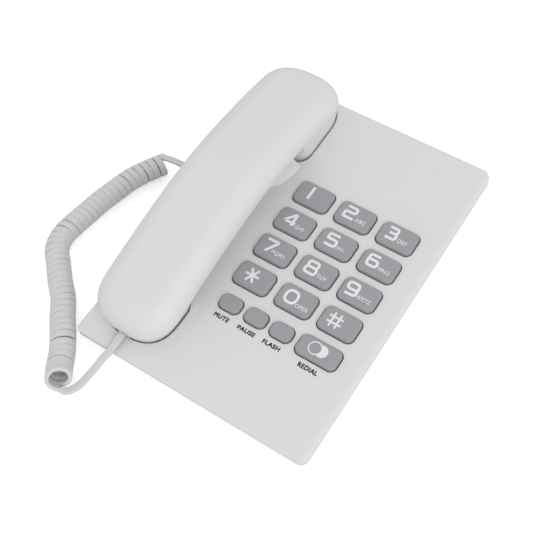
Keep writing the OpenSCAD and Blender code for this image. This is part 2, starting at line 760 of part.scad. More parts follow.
module ringer_switch_knob() {
    stem = ringer_slot[1] - 2 * touch_gap;
    from = case_back - case_wall - ringer_body[1] / 2 + touch_gap;
    color(key_colour) translate([ringer_x - ringer_travel / 2, 0, ringer_z]) {
        translate([-ringer_stem / 2, from, -stem / 2])
            cube([ringer_stem, case_back + touch_gap - from + eps, stem]);
        translate([-ringer_grip[0] / 2, case_back + touch_gap, -ringer_grip[2] / 2]) cube(ringer_grip);
    }
}

// ======================= handset =======================

module in_handset() {
    on_deck() translate([hand_x, 0, 0]) children();
}

module plug_way() {
    translate([0, hand_front, hand_jack_z])
        cube([jack_w + 2 * touch_gap, 12, jack_h + 2 * touch_gap + 1.2], center = true);
}

turns_up = [90, 74, 58, 42, 28, 14, 0];
module handset_top_shell() {
    color(case_colour) in_handset() difference() {
        union() {
            skin(concat([for (a = turns_up) upper_level(a, 0)],
                        [for (a = [0, 20, 45, 68, 90]) upper_level(a, shell_t)]), true);
            for (p = hand_screw_at) translate([p[0], p[1], hand_boss_z])
                cylinder(h = arch(p[1]) - shell_t / 2 - hand_boss_z, r = hand_boss_r);
        }
        for (p = hand_screw_at) translate([p[0], p[1], hand_boss_z - 1])
            cylinder(h = hand_shank + 2, r = hand_pilot_r);
        plug_way();
    }
}

module handset_lower_shell() {
    color(case_colour) in_handset() difference() {
        union() {
            skin(concat([for (a = [90, 55, 25]) low_level(3, a, 0)], [for (f = [3:-1:0]) low_level(f, 0, 0)],
                 [for (f = [0:3]) low_level(f, 0, shell_t)], [for (a = [45, 90]) low_level(3, a, shell_t)]),
                 false);
            for (p = hand_screw_at) translate([p[0], p[1], cup_z + shell_t / 2])
                cylinder(h = hand_boss_z - cup_z - shell_t / 2, r = hand_boss_r + 0.4);
        }
        for (p = hand_screw_at) translate([p[0], p[1], cup_z - 1]) {
            cylinder(h = 1 + hand_head_h + 0.4, r = hand_head_r + 0.3);
            cylinder(h = 12, r = hand_pilot_r + 0.2);
        }
        for (q = concat([[0, 0]], [for (a = [0:60:300]) ear_hole_ring * [cos(a), sin(a)]]))
            translate([q[0], ear_y + q[1], cup_z - 1]) cylinder(h = shell_t + 2, r = ear_hole_r);
        for (k = [-1:1]) translate([k * mouth_hole_pitch, mouth_y, cup_z - 1])
            cylinder(h = shell_t + 2, r = mouth_hole_r);
        plug_way();
    }
}

module handset_screws() {
    color(steel_colour) in_handset() for (p = hand_screw_at)
        translate([p[0], p[1], cup_z + hand_head_h + 0.4])
            screw(hand_pilot_r - screw_gap, hand_shank, hand_head_r, hand_head_h);
}

module receiver_gasket() {
    color(rubber_colour) in_handset() translate([0, ear_y, cup_z + shell_t]) difference() {
        cylinder(h = gasket_t, d = receiver_d);
        translate([0, 0, -1]) cylinder(h = gasket_t + 2, d = receiver_d - 2 * gasket_ring);
    }
}

module receiver_capsule() {
    color([0.25, 0.25, 0.26]) in_handset() translate([0, ear_y, cup_z + shell_t + gasket_t]) {
        cylinder(h = receiver_h, d = receiver_d);
        translate([0, 0, receiver_h - eps]) cylinder(h = magnet_h, d = magnet_d);
    }
}

module microphone_boot() {
    color(rubber_colour) in_handset() translate([0, mouth_y, cup_z + shell_t]) difference() {
        cylinder(h = mic_h + boot_floor, d = mic_d + 2 * boot_wall);
        translate([0, 0, boot_floor]) cylinder(h = mic_h + 1, d = mic_d);
        translate([0, 0, -1]) cylinder(h = boot_floor + 2, r = mouth_hole_r);
    }
}

module microphone_capsule() {
    color(steel_colour) in_handset() translate([0, mouth_y, cup_z + shell_t + boot_floor])
        cylinder(h = mic_h, d = mic_d);
}

module handset_weight() {
    color(steel_colour) in_handset() translate([0, hand_peak, arch(hand_peak) - handle_t + shell_t + touch_gap
        + hand_weight[2] / 2]) cube(hand_weight, center = true);
}

// ======================= cord =======================

module handset_lead() {
    color(cord_colour) tube(oval_rings(handset_lead_route, cord_w, cord_t, 8));
}

module cord_coil() {
    color(cord_colour) tube(oval_rings(coil_route, coil_d, coil_d, 12));
}

module base_lead() {
    color(cord_colour) tube(oval_rings(base_lead_route, cord_w, cord_t, 8));
}

top_case();
bottom_case();
rubber_feet();
case_screws();
keypad_mat();
main_board();
board_parts();
board_screws();
hook_plunger();
hook_spring();
hook_switch();
sounder();
ballast_plate();
ringer_switch_body();
ringer_switch_knob();
line_jack();
base_cord_jack();
handset_top_shell();
handset_lower_shell();
receiver_capsule();
receiver_gasket();
microphone_capsule();
microphone_boot();
handset_weight();
handset_cord_jack();
handset_screws();
handset_plug();
base_plug();
handset_lead();
cord_coil();
base_lead();
for (k = keys) key(k[0]);
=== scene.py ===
"""Finishes a corded desk telephone: its cases, handset, keys, legends and coiled cord, on a stage.

Everything is in metres, Z up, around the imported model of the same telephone. Pieces on the sloping base are
made in millimetres in the frame of its top face (X across, Y to the back, Z out of it) and then laid on it.
"""

import math

import bmesh
import bpy
from bpy.props import FloatProperty, FloatVectorProperty, IntProperty, PointerProperty
from mathutils import Matrix, Vector


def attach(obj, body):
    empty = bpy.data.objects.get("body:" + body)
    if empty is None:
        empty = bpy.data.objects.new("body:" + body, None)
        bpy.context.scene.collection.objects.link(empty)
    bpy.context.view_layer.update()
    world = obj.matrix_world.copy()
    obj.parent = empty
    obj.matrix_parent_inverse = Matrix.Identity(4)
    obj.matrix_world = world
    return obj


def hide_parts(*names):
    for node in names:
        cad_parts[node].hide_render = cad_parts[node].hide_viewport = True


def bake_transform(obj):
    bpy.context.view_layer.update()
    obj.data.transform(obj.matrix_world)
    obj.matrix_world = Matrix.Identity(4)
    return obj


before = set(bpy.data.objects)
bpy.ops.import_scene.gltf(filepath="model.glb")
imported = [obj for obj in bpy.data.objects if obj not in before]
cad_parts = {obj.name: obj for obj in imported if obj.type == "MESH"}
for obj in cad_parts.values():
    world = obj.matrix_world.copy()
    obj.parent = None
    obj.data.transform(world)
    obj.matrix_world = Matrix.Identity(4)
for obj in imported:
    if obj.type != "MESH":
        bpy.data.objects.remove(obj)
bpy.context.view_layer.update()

bl_info = {
    "name": "Corded telephone",
    "version": (1, 0, 0),
    "blender": (4, 5, 0),
    "location": "View3D > Sidebar > Telephone",
    "description": "Finishes a corded desk telephone around its packed model",
    "category": "Object",
}

MM = 0.001
UP = Vector((0, 0, 1))


# ---------------------------------------------------------------- sizes and colours

def linear(code):
    """The linear RGBA of an sRGB hex colour."""
    parts = [int(code[i:i + 2], 16) / 255 for i in (0, 2, 4)]
    return [c / 12.92 if c <= 0.04045 else ((c + 0.055) / 1.055) ** 2.4 for c in parts] + [1.0]


def length_property(name, description, default):
    return FloatProperty(name=name, description=description, default=default * MM, min=0.0,
                         subtype="DISTANCE", unit="LENGTH")


def colour_property(name, description, code):
    return FloatVectorProperty(name=name, description=description, default=linear(code), size=4,
                               min=0.0, max=1.0, subtype="COLOR")


class TelephoneSizes(bpy.types.PropertyGroup):
    """Sizes of the telephone's finished surfaces."""

    tilt: FloatProperty(name="Slope of the top face", description="Angle of the base's top face to the desk",
                        default=math.radians(8), subtype="ANGLE", unit="ROTATION")
    base_length: length_property("Length of the base", "Length of the top face, front to back", 210)
    front_height: length_property("Front height", "Height of the top face at its front edge", 14)
    rim_height: length_property("Rim height", "Depth of the rim around the top face", 4)
    case_edge: length_property("Case edge", "Rounding of the case's small moulded edges", 0.35)
    handset_half: length_property("Half of the handset's width", "From the handset's middle to its side", 25.6)
    handset_edge_height: length_property("Handset edge height", "Height of the handset's rounded edge", 12.4)
    handset_edge_reach: length_property("Handset edge reach", "Inward reach of the rounded edge", 12.8)
    handset_wall: length_property("Handset wall", "Wall of the handset's two shells", 2)
    handset_seam: length_property("Handset seam", "Depth of the groove between the two shells", 0.12)
    key_corner: length_property("Key corner", "Corner radius of a key", 3.6)
    key_edge: length_property("Key edge", "Rounding of a key's upper edge", 1.1)
    digit_stroke: length_property("Digit stroke", "Width of a digit's stroke", 1.62)
    ink: length_property("Ink", "Thickness of the printed ink", 0.04)
    cord_width: length_property("Cord width", "Width of the flat cord", 4.2)
    cord_thickness: length_property("Cord thickness", "Thickness of the flat cord", 2.4)
    coil_start: length_property("Coil at the base's end", "Outer diameter of the coil near the base", 14)
    coil_end: length_property("Coil at the handset's end", "Outer diameter of the coil near the handset", 15)
    coil_turns: IntProperty(name="Turns", description="Whole turns of the coil", default=43, min=4, max=80)


class TelephoneColours(bpy.types.PropertyGroup):
    """Colours of the telephone's materials."""

    case: colour_property("Case", "Moulded case and handset", "DFDFDF")
    key: colour_property("Keys", "Moulded key caps", "9D9EA2")
    digit: colour_property("Digits", "Ink of the digits and letters", "E9EBEC")
    label: colour_property("Labels", "Ink of the words under the keys", "191A1C")
    cord: colour_property("Cord", "Jacket of the cord", "D5D5D5")
    plug: colour_property("Plugs", "Clear bodies of the plugs", "E8EAE9")
    rubber: colour_property("Rubber", "Feet and gaskets", "2A2A2B")
    mat: colour_property("Keypad mat", "Silicone sheet under the keys", "6E6E6C")
    board: colour_property("Board", "Solder mask of the circuit board", "1F5B37")
    steel: colour_property("Steel", "Screws, spring and weights", "B4B6B9")
    brass: colour_property("Brass", "Cup of the sounder", "C9A55C")
    black: colour_property("Black plastic", "Switches and soldered parts", "232325")
    floor: colour_property("Floor", "Floor under the telephone", "F2F2F2")


# The form of the handset, in millimetres of the top face's frame.
HANDSET_X = -48.2
HANDSET_FRONT = -95
HANDSET_BACK = 107.2
HANDSET_TOP = 35.8
HANDSET_PEAK = 10
DROP = 15
FRONT_DROP_POWER = 1.5
BACK_DROP_POWER = 1.8
HANDLE_THICKNESS = 18.5
FRONT_END = 23.8
BACK_END = 23.5
FRONT_SQUARENESS = 2.6
BACK_SQUARENESS = 2.4
SIDE_DRAFT = 2
LOWER_ROUND = 3
CUP_Z = -3.7
MOUTH_STEP = -64
MOUTH_RUN = 12
EAR_STEP = 55
EAR_RUN = 2
EAR_CORNER = 9
SHELF = 1
MOUTH_TAPER = 0.12
TAPER_FROM = -45
TAPER_RUN = 15
EAR_Y = 79
MOUTH_Y = -72.6
HANDSET_SCREWS = [(-14.5, -72), (14.5, -72), (-15, 59), (15, 59)]
EAR_RING = 8
EAR_HOLE = 1.2
MOUTH_PITCH = 6
MOUTH_HOLE = 1
SCREW_RECESS = 2.5
SCREW_DEPTH = 1.9
HOLE_DEPTH = 4
PLUG_OPENING = (8.1, 12, 7.5)
PLUG_Z = 3.9
# The mouth well's back corner, the start of its draw, and how far the corner is drawn in.
WELL_CORNER = (-25.6, -56.7)
WELL_FRONT = -62
WELL_DRAW = 2.9

# The keys, in millimetres of the top face's frame.
KEY_NAMES = ["1", "2", "3", "4", "5", "6", "7", "8", "9", "star", "0", "hash"]
KEY_SIZE = (22.6, 15.4)
KEY_FIRST = (-6.1, 36.7)
KEY_PITCH = (28, 21.2)
SMALL_SIZE = (13.4, 9.6)
SMALL_KEYS = {"mute": -8.4, "pause": 8.6, "flash": 25.4}
SMALL_Y = -47.2
REDIAL_SIZE = (25.4, 12.8)
REDIAL_X = 49
KEY_RISE = 2.4
KEY_BOTTOM = -3.9
KEY_LIP = 1.6
KEY_LIP_HEIGHT = 1.2
KEY_CROWN = 0.12
KEY_CORNER_STEPS = 8
# The print: weight of the words and letters, height between strokes that cross, and the redial sign.
LABEL_WEIGHT = 0.15
LETTER_WEIGHT = 0.03
STROKE_STEP = 0.004
REDIAL_RING = (46.5, -46.6)
REDIAL_DISC = (50.5, -46.6)
REDIAL_RADIUS = 3.75
REDIAL_LINE = 0.62

# The cord's route, in millimetres: from the base's socket to the coil, the coil's own middle line, and from
# the coil to the handset's socket.
BASE_LEAD = [(-68.2, 27, 17), (-80, 27, 17), (-88, 26.7, 17), (-96, 26.5, 16.6), (-102, 26.6, 16),
             (-107, 27, 14.8), (-110, 27.5, 13.6)]
COIL_Z = 7.6
COIL_ROUTE = [(-112, 27, COIL_Z), (-118, 15, COIL_Z), (-122, 4, COIL_Z), (-124, -7, COIL_Z),
              (-126, -19, COIL_Z), (-127, -31, COIL_Z), (-128, -43, COIL_Z), (-128, -54, COIL_Z),
              (-124, -64, COIL_Z), (-116, -72, COIL_Z), (-107, -81, COIL_Z), (-97, -90, COIL_Z),
              (-89, -100, COIL_Z), (-81, -109, COIL_Z), (-74, -118, COIL_Z),
              (-68, -127, 9), (-62.5, -133.5, 12)]
CORD_CORNER = 0.8
COIL_STEPS = 34
# Where the coil is pulled a little apart: middle and spread as shares of its length, and how much wider.
COIL_GAPS = [(0.03, 0.008, 0.35), (0.075, 0.008, 0.45), (0.12, 0.008, 0.3), (0.16, 0.008, 0.3),
             (0.42, 0.012, 0.4), (0.86, 0.01, 0.4), (0.93, 0.01, 0.35)]
HANDSET_LEAD = [(-59, -135, 5), (-56.5, -132.6, 4.4), (-54, -128, 5.4), (-52.3, -122, 8), (-51, -116, 10.8),
                (-50.3, -111, 13), (-49.3, -106.8, 14.6), (-48.7, -102.8, 16.2), (-48.3, -98.4, 18.2),
                (HANDSET_X, -94.2, 19.3)]


def sizes():
    return bpy.context.scene.telephone_sizes


def colours():
    return bpy.context.scene.telephone_colours


def deck():
    """Lays millimetres of the top face's frame on the base, in metres."""
    s = sizes()
    lift = s.front_height + s.base_length / 2 * math.sin(s.tilt)
    back = -s.rim_height * math.sin(s.tilt) / 2
    return Matrix.Translation((0, back, lift)) @ Matrix.Rotation(s.tilt, 4, "X") @ Matrix.Scale(MM, 4)


# ---------------------------------------------------------------- materials

def add(tree, kind, settings=None, **inputs):
    """Adds a node with its settings; each input is a value, or the socket that it is linked from."""
    node = tree.nodes.new(kind)
    for name, value in (settings or {}).items():
        setattr(node, name, value)
    for name, value in inputs.items():
        key = name.replace("_", " ")
        socket = node.inputs[int(name[1:])] if name[0] == "n" and name[1:].isdigit() else node.inputs[key]
        if isinstance(value, bpy.types.NodeSocket):
            tree.links.new(value, socket)
        else:
            socket.default_value = value
    return node


def new_material(name, **shader):
    """A material with one Principled shader, set from the keywords."""
    material = bpy.data.materials.new(name)
    material.use_nodes = True
    tree = material.node_tree
    tree.nodes.clear()
    surface = add(tree, "ShaderNodeBsdfPrincipled", **shader)
    add(tree, "ShaderNodeOutputMaterial", Surface=surface.outputs["BSDF"])
    return material, tree, surface


def per_metre(millimetres):
    """The texture scale at which one feature is this many millimetres wide."""
    return 1 / (millimetres * MM)


def mottle(tree, colour, feature, share):
    """The colour, a little lighter and darker in soft patches of the feature's size in millimetres."""
    place = add(tree, "ShaderNodeTexCoord")
    noise = add(tree, "ShaderNodeTexNoise", Vector=place.outputs["Object"], Scale=per_metre(feature),
                Detail=3.0)
    dark = [c * (1 - share) for c in colour[:3]] + [1.0]
    light = [min(c * (1 + share), 1.0) for c in colour[:3]] + [1.0]
    mix = add(tree, "ShaderNodeMix", {"data_type": "RGBA"}, Factor=noise.outputs["Fac"], n6=dark, n7=light)
    return mix.outputs[2]


def grain(tree, surface, feature, depth):
    """Bumps the surface with a grain of this size and depth in millimetres."""
    place = add(tree, "ShaderNodeTexCoord")
    noise = add(tree, "ShaderNodeTexNoise", Vector=place.outputs["Object"], Scale=per_metre(feature),
                Detail=2.0)
    bump = add(tree, "ShaderNodeBump", Strength=1.0, Distance=depth * MM, Height=noise.outputs["Fac"])
    tree.links.new(bump.outputs["Normal"], surface.inputs["Normal"])


def vary_roughness(tree, surface, feature, low, high):
    """Lets the roughness drift between two values over patches of the feature's size."""
    place = add(tree, "ShaderNodeTexCoord")
    noise = add(tree, "ShaderNodeTexNoise", Vector=place.outputs["Object"], Scale=per_metre(feature),
                Detail=2.0)
    span = add(tree, "ShaderNodeMapRange", Value=noise.outputs["Fac"], To_Min=low, To_Max=high)
    tree.links.new(span.outputs["Result"], surface.inputs["Roughness"])


def patchy(name, colour, shade, rough, grained=None, **shader):
    """A material with its patches of shade (size, share), of roughness (size, low, high) and its grain (size,
    depth); sizes in millimetres."""
    made, tree, surface = new_material(name, **shader)
    tree.links.new(mottle(tree, colour, *shade), surface.inputs["Base Color"])
    if grained:
        grain(tree, surface, *grained)
    vary_roughness(tree, surface, *rough)
    return made, tree, surface


def moulded_abs(name, colour, low, high, grained=(0.45, 0.012)):
    # ABS from a spark-eroded mould: a fine even grain, a soft satin sheen and hardly any change of colour.
    return patchy(name, colour, (38, 0.012), (9, low, high), grained, IOR=1.54)[0]


def pad_printed_ink(name, colour):
    # Pad-printed ink: a thin opaque film, a little glossier than the plastic under it.
    return patchy(name, colour, (1.5, 0.02), (2, 0.36, 0.46), IOR=1.5)[0]


def extruded_pvc(name, colour):
    # Flat PVC jacket: smooth and waxy, with the faint ribs of the four wires that lie side by side in it.
    made, tree, surface = patchy(name, colour, (12, 0.02), (5, 0.38, 0.5), IOR=1.53)
    across = add(tree, "ShaderNodeUVMap", {"uv_map": "cord"})
    parts = add(tree, "ShaderNodeSeparateXYZ", Vector=across.outputs["UV"])
    ribs = add(tree, "ShaderNodeMath", {"operation": "MULTIPLY"}, n0=parts.outputs["Y"], n1=8 * math.tau)
    wave = add(tree, "ShaderNodeMath", {"operation": "SINE"}, n0=ribs.outputs["Value"])
    bump = add(tree, "ShaderNodeBump", Strength=0.35, Distance=0.05 * MM, Height=wave.outputs["Value"])
    tree.links.new(bump.outputs["Normal"], surface.inputs["Normal"])
    return made


def clear_polycarbonate(name, colour):
    # Moulded polycarbonate: clear and glossy, greyed by the contacts and wires inside.
    return patchy(name, colour, (3, 0.04), (4, 0.08, 0.16), IOR=1.58, Transmission_Weight=0.3)[0]


def moulded_rubber(name, colour):
    # Moulded EPDM: dull, with a fine open grain that scatters a weak sheen.
    return patchy(name, colour, (2, 0.12), (3, 0.7, 0.85), (0.5, 0.03), IOR=1.52, Sheen_Weight=0.15)[0]


def zinc_plated_steel(name, colour):
    # Zinc-plated steel: a soft metallic grey with the fine streaks of its drawn wire.
    return patchy(name, colour, (0.8, 0.08), (0.6, 0.28, 0.42), (0.3, 0.006), Metallic=1.0)[0]


def lacquered_brass(name, colour):
    # Stamped brass under lacquer: warm and fairly bright.
    return patchy(name, colour, (4, 0.05), (2, 0.22, 0.34), Metallic=1.0)[0]


def solder_mask(name, colour):
    # Solder mask over glass-epoxy board: a glossy green film that shows the weave under it.
    return patchy(name, colour, (1.2, 0.15), (3, 0.3, 0.45), (0.7, 0.01), IOR=1.55, Coat_Weight=0.3,
                  Coat_Roughness=0.2)[0]


MADE = {}


def material(kind):
    """The material of one finish, made the first time that it is asked for."""
    if kind not in MADE:
        c = colours()
        makers = {
            "case": lambda: moulded_abs("moulded_abs_case", c.case, 0.4, 0.5),
            "key": lambda: moulded_abs("moulded_abs_keys", c.key, 0.44, 0.54, (0.4, 0.01)),
            "black": lambda: moulded_abs("moulded_abs_black", c.black, 0.35, 0.5),
            "digit": lambda: pad_printed_ink("white_pad_ink", c.digit),
            "label": lambda: pad_printed_ink("black_pad_ink", c.label),
            "cord": lambda: extruded_pvc("extruded_pvc_jacket", c.cord),
            "plug": lambda: clear_polycarbonate("clear_polycarbonate", c.plug),
            "rubber": lambda: moulded_rubber("moulded_epdm", c.rubber),
            "mat": lambda: moulded_rubber("moulded_silicone", c.mat),
            "steel": lambda: zinc_plated_steel("zinc_plated_steel", c.steel),
            "brass": lambda: lacquered_brass("lacquered_brass", c.brass),
            "board": lambda: solder_mask("solder_mask", c.board),
        }
        MADE[kind] = makers[kind]()
    return MADE[kind]


# ---------------------------------------------------------------- meshes

def finish_object(bm, name, kind, body, place=None, smooth_angle=32):
    """Makes the piece from its bmesh: places it, smooths it up to the angle, paints it and rides it."""
    if place is not None:
        bmesh.ops.transform(bm, matrix=place, verts=bm.verts)
    for face in bm.faces:
        face.smooth = True
    mesh = bpy.data.meshes.new(name)
    bm.to_mesh(mesh)
    bm.free()
    mesh.set_sharp_from_angle(angle=math.radians(smooth_angle))
    piece = bpy.data.objects.new(name, mesh)
    bpy.context.scene.collection.objects.link(piece)
    mesh.materials.append(material(kind))
    if body:
        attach(piece, body)
    return piece


def merged_copy(node):
    """A bmesh of the node's mesh with its loose triangles joined and its flat faces made whole."""
    bm = bmesh.new()
    bm.from_mesh(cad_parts[node].data)
    bmesh.ops.remove_doubles(bm, verts=bm.verts, dist=0.002 * MM)
    bmesh.ops.dissolve_limit(bm, angle_limit=math.radians(0.4), verts=bm.verts, edges=bm.edges)
    return bm


def soften(piece, width, angle=35, segments=3):
    """Rounds the piece's sharp edges and evens its shading."""
    bevel = piece.modifiers.new("edges", "BEVEL")
    bevel.width = width
    bevel.segments = segments
    bevel.limit_method = "ANGLE"
    bevel.angle_limit = math.radians(angle)
    bevel.use_clamp_overlap = True
    bevel.harden_normals = False
    even = piece.modifiers.new("even_normals", "WEIGHTED_NORMAL")
    even.keep_sharp = True
    return piece


def dressed(node, kind, body, width, angle=35, form=None):
    """A finished copy of a node with rounded edges, which replaces it."""
    bm = merged_copy(node)
    if form:
        form(bm)
    piece = finish_object(bm, node + "_finish", kind, body)
    soften(piece, width, angle)
    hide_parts(node)
    return piece


def baked(piece):
    """Gives the piece its modified mesh, and takes its modifiers off."""
    graph = bpy.context.evaluated_depsgraph_get()
    graph.update()
    mesh = bpy.data.meshes.new_from_object(piece.evaluated_get(graph))
    piece.modifiers.clear()
    piece.data = mesh
    return piece


def carve(piece, bm):
    """Cuts the closed shapes of a bmesh out of the piece."""
    mesh = bpy.data.meshes.new("cutter")
    bm.to_mesh(mesh)
    bm.free()
    cutter = bpy.data.objects.new("cutter", mesh)
    bpy.context.scene.collection.objects.link(cutter)
    cut = piece.modifiers.new("cut", "BOOLEAN")
    cut.operation = "DIFFERENCE"
    cut.solver = "EXACT"
    cut.object = cutter
    baked(piece)
    bpy.data.objects.remove(cutter)
    return piece


# ---------------------------------------------------------------- handset form

def smooth_step(t):
    t = min(max(t, 0.0), 1.0)
    return t * t * (3 - 2 * t)


def arch(y):
    """Height of the handset's back over the top face."""
    run = (y - HANDSET_PEAK) / 100
    return HANDSET_TOP - DROP * (abs(run) ** (FRONT_DROP_POWER if run < 0 else BACK_DROP_POWER))


def under(y):
    """Height of the handset's lower face: the two cups, and the handle between them."""
    share = min(smooth_step((y - MOUTH_STEP) / MOUTH_RUN), smooth_step((EAR_STEP - y) / EAR_RUN))
    return CUP_Z * (1 - share) + (arch(y) - HANDLE_THICKNESS) * share


def under_inside(y):
    """Height of the inside of the handset's lower face."""
    wall = sizes().handset_wall / MM
    return max(under(y - wall), under(y), under(y + wall)) + wall


def taper(y):
    """Share of the outline's width that the mouth cup keeps at its lower edge."""
    return 1 - MOUTH_TAPER * smooth_step((TAPER_FROM - y) / TAPER_RUN)


def end_quarter(tip, depth, power, sign, count):
    """Points and outward directions of a quarter of a rounded end, from its tip to its side."""
    half = sizes().handset_half / MM
    out = []
    for i in range(count + 1):
        a = math.pi / 2 * i / count
        x = half * math.sin(a) ** (2 / power)
        u = math.cos(a) ** (2 / power) if i < count else 0.0
        normal = Vector(((x / half) ** (power - 1) / half, sign * u ** (power - 1) / depth))
        out.append((Vector((x, tip - sign * depth * (1 - u))), normal.normalized()))
    return out


def side_stations():
    """Places along the handset's straight side, closer together where the ear cup begins."""
    places, y = [], HANDSET_FRONT + FRONT_END + 2.5
    while y < HANDSET_BACK - BACK_END - 1:
        places.append(y)
        near = EAR_STEP - EAR_RUN - 2 < y < EAR_STEP + EAR_CORNER
        y += 0.25 if abs(y - EAR_STEP + 1) < 1.8 else 0.6 if near else 2.5
    return places


def handset_outline():
    """The whole outline, anticlockwise from the front tip."""
    half = sizes().handset_half / MM
    front = end_quarter(HANDSET_FRONT, FRONT_END, FRONT_SQUARENESS, -1, 22)
    back = end_quarter(HANDSET_BACK, BACK_END, BACK_SQUARENESS, 1, 22)
    right = front + [(Vector((half, y)), Vector((1, 0))) for y in side_stations()] + back[::-1]
    left = [(Vector((-p.x, p.y)), Vector((-n.x, n.y))) for p, n in right[-2:0:-1]]
    return right + left


def ear_corner(y, z):
    """Extra inset of the ear cup's two front corners, below the handle."""
    d = y - EAR_STEP
    if d < -EAR_RUN or d > EAR_CORNER:
        return 0.0
    below = min(max((arch(y) - HANDLE_THICKNESS - z) / SHELF, 0), 1)
    return below * (EAR_CORNER - math.sqrt(EAR_CORNER ** 2 - (EAR_CORNER - max(d, 0)) ** 2))


def first_ring(bm, points):
    ring = bmesh.ops.create_circle(bm, segments=len(points), radius=1)["verts"]
    for vertex, point in zip(ring, points):
        vertex.co = point
    return ring


def extruded(bm, edges, row, points):
    """Extrudes the edges of a row of vertices, and sets the new row on the points."""
    grown = bmesh.ops.extrude_edge_only(bm, edges=edges)["geom"]
    fresh = {g for g in grown if isinstance(g, bmesh.types.BMVert)}
    out = [next(e.other_vert(v) for e in v.link_edges if e.other_vert(v) in fresh) for v in row]
    for vertex, point in zip(out, points):
        vertex.co = point
    return out


def next_ring(bm, ring, points):
    count = len(ring)
    edges = [bm.edges.get((ring[i], ring[(i + 1) % count])) for i in range(count)]
    return extruded(bm, edges, ring, points)


def skin(bm, levels):
    """Rings through all the levels; gives back the first and the last one."""
    first = ring = first_ring(bm, levels[0])
    for level in levels[1:]:
        ring = next_ring(bm, ring, level)
    return first, ring


def strip_cap(bm, ring):
    """Closes a ring that is the same on both sides by strips straight across it."""
    half = len(ring) // 2
    bmesh.ops.contextual_create(bm, geom=[ring[0], ring[1], ring[-1]])
    for i in range(1, half - 1):
        bmesh.ops.contextual_create(bm, geom=[ring[i], ring[i + 1], ring[-i - 1], ring[-i]])
    bmesh.ops.contextual_create(bm, geom=[ring[half], ring[half - 1], ring[half + 1]])


def closed_shell(levels):
    """A shell through the levels, from the middle of its outside over its edge to the middle of its inside."""
    bm = bmesh.new()
    for ring in skin(bm, levels):
        strip_cap(bm, ring)
    bmesh.ops.recalc_face_normals(bm, faces=bm.faces)
    return bm


def upper_level(outline, angle, wall=0.0):
    """The handset's outline on its rounded upper edge, at this angle up from the seam; the wall moves it in."""
    s = sizes()
    reach = wall + (s.handset_edge_reach / MM - wall) * (1 - math.cos(angle))
    height = (s.handset_edge_height / MM - wall) * math.sin(angle)
    out = []
    for p, n in outline:
        q = p - n * reach
        out.append(Vector((q.x, q.y, seam(q.y) + height)))
    return out


def lower_level(outline, stage, angle, wall=0.0):
    """The outline at a stage of the side wall (0 to 3: seam, handle's underside, shelf, rim), or
    at an angle round the lower edge; the wall moves it in."""
    handle = HANDLE_THICKNESS - sizes().handset_edge_height / MM
    floor = under_inside if wall else under
    out = []
    for p, n in outline:
        drop = seam(p.y) - floor(p.y) - LOWER_ROUND
        down = {0: 0.0, 1: min(handle / drop, 0.6), 1.5: min((handle + SHELF / 2) / drop, 0.7),
                2: min((handle + SHELF) / drop, 0.8), 3: 1.0}[stage]
        reach = wall + SIDE_DRAFT * down + LOWER_ROUND * (1 - math.cos(angle))
        q = p - n * reach
        rim = floor(q.y) + LOWER_ROUND
        z = seam(q.y) + (rim - seam(q.y)) * down if angle == 0 else rim - LOWER_ROUND * math.sin(angle)
        x = q.x * (1 - (1 - taper(q.y)) * down)
        side = 0 if abs(p.x) < 0.001 else math.copysign(1, p.x)
        out.append(Vector((x - side * ear_corner(q.y, z), q.y, z)))
    return out


def seam(y):
    return arch(y) - sizes().handset_edge_height / MM


def grooved(outline, up):
    """The seam's two first rings: the bottom of its groove, and the groove's edge on this side."""
    depth = sizes().handset_seam / MM
    inner = [p - n * depth for p, n in outline]
    return [[Vector((q.x, q.y, seam(q.y))) for q in inner],
            [Vector((p.x, p.y, seam(p.y) + up * depth)) for p, n in outline]]


# ---------------------------------------------------------------- cord form

def smooth_route(points, step):
    """The points in millimetres on one smooth curve through the route, resampled at about this step."""
    p = [Vector(q) for q in points]
    p = [2 * p[0] - p[1]] + p + [2 * p[-1] - p[-2]]
    fine = []
    for a, b, c, d in zip(p, p[1:], p[2:], p[3:]):
        for k in range(24):
            t = k / 24
            fine.append(0.5 * (2 * b + (c - a) * t + (2 * a - 5 * b + 4 * c - d) * t ** 2
                               + (3 * b - a - 3 * c + d) * t ** 3))
    fine.append(p[-2])
    runs = [0.0]
    for a, b in zip(fine, fine[1:]):
        runs.append(runs[-1] + (b - a).length)
    count = max(2, round(runs[-1] / step))
    out, k = [], 0
    for i in range(count + 1):
        target = runs[-1] * i / count
        while k < len(runs) - 2 and runs[k + 1] < target:
            k += 1
        share = (target - runs[k]) / (runs[k + 1] - runs[k])
        out.append(fine[k].lerp(fine[k + 1], min(max(share, 0), 1)))
    return out


def headings(points):
    last = len(points) - 1
    return [(points[min(i + 1, last)] - points[max(i - 1, 0)]).normalized() for i in range(last + 1)]


def level_across(heading):
    """The level direction at right angles to a heading, to its right."""
    return heading.cross(UP).normalized()


def rounded_rectangle(w, l, r, steps):
    """Points round a rectangle of these half widths, with this many steps round each corner."""
    out = []
    for k, (sx, sy) in enumerate([(1, 1), (-1, 1), (-1, -1), (1, -1)]):
        for j in range(steps + 1):
            a = math.radians(90 * k + 90 * j / steps)
            out.append((sx * (w - r) + r * math.cos(a), sy * (l - r) + r * math.sin(a)))
    return out


def cord_profile():
    """The flat cord's rounded section: points across its width and thickness, in millimetres."""
    s = sizes()
    w, t, r = s.cord_width / MM / 2, s.cord_thickness / MM / 2, CORD_CORNER
    return rounded_rectangle(w, t, r, 4)


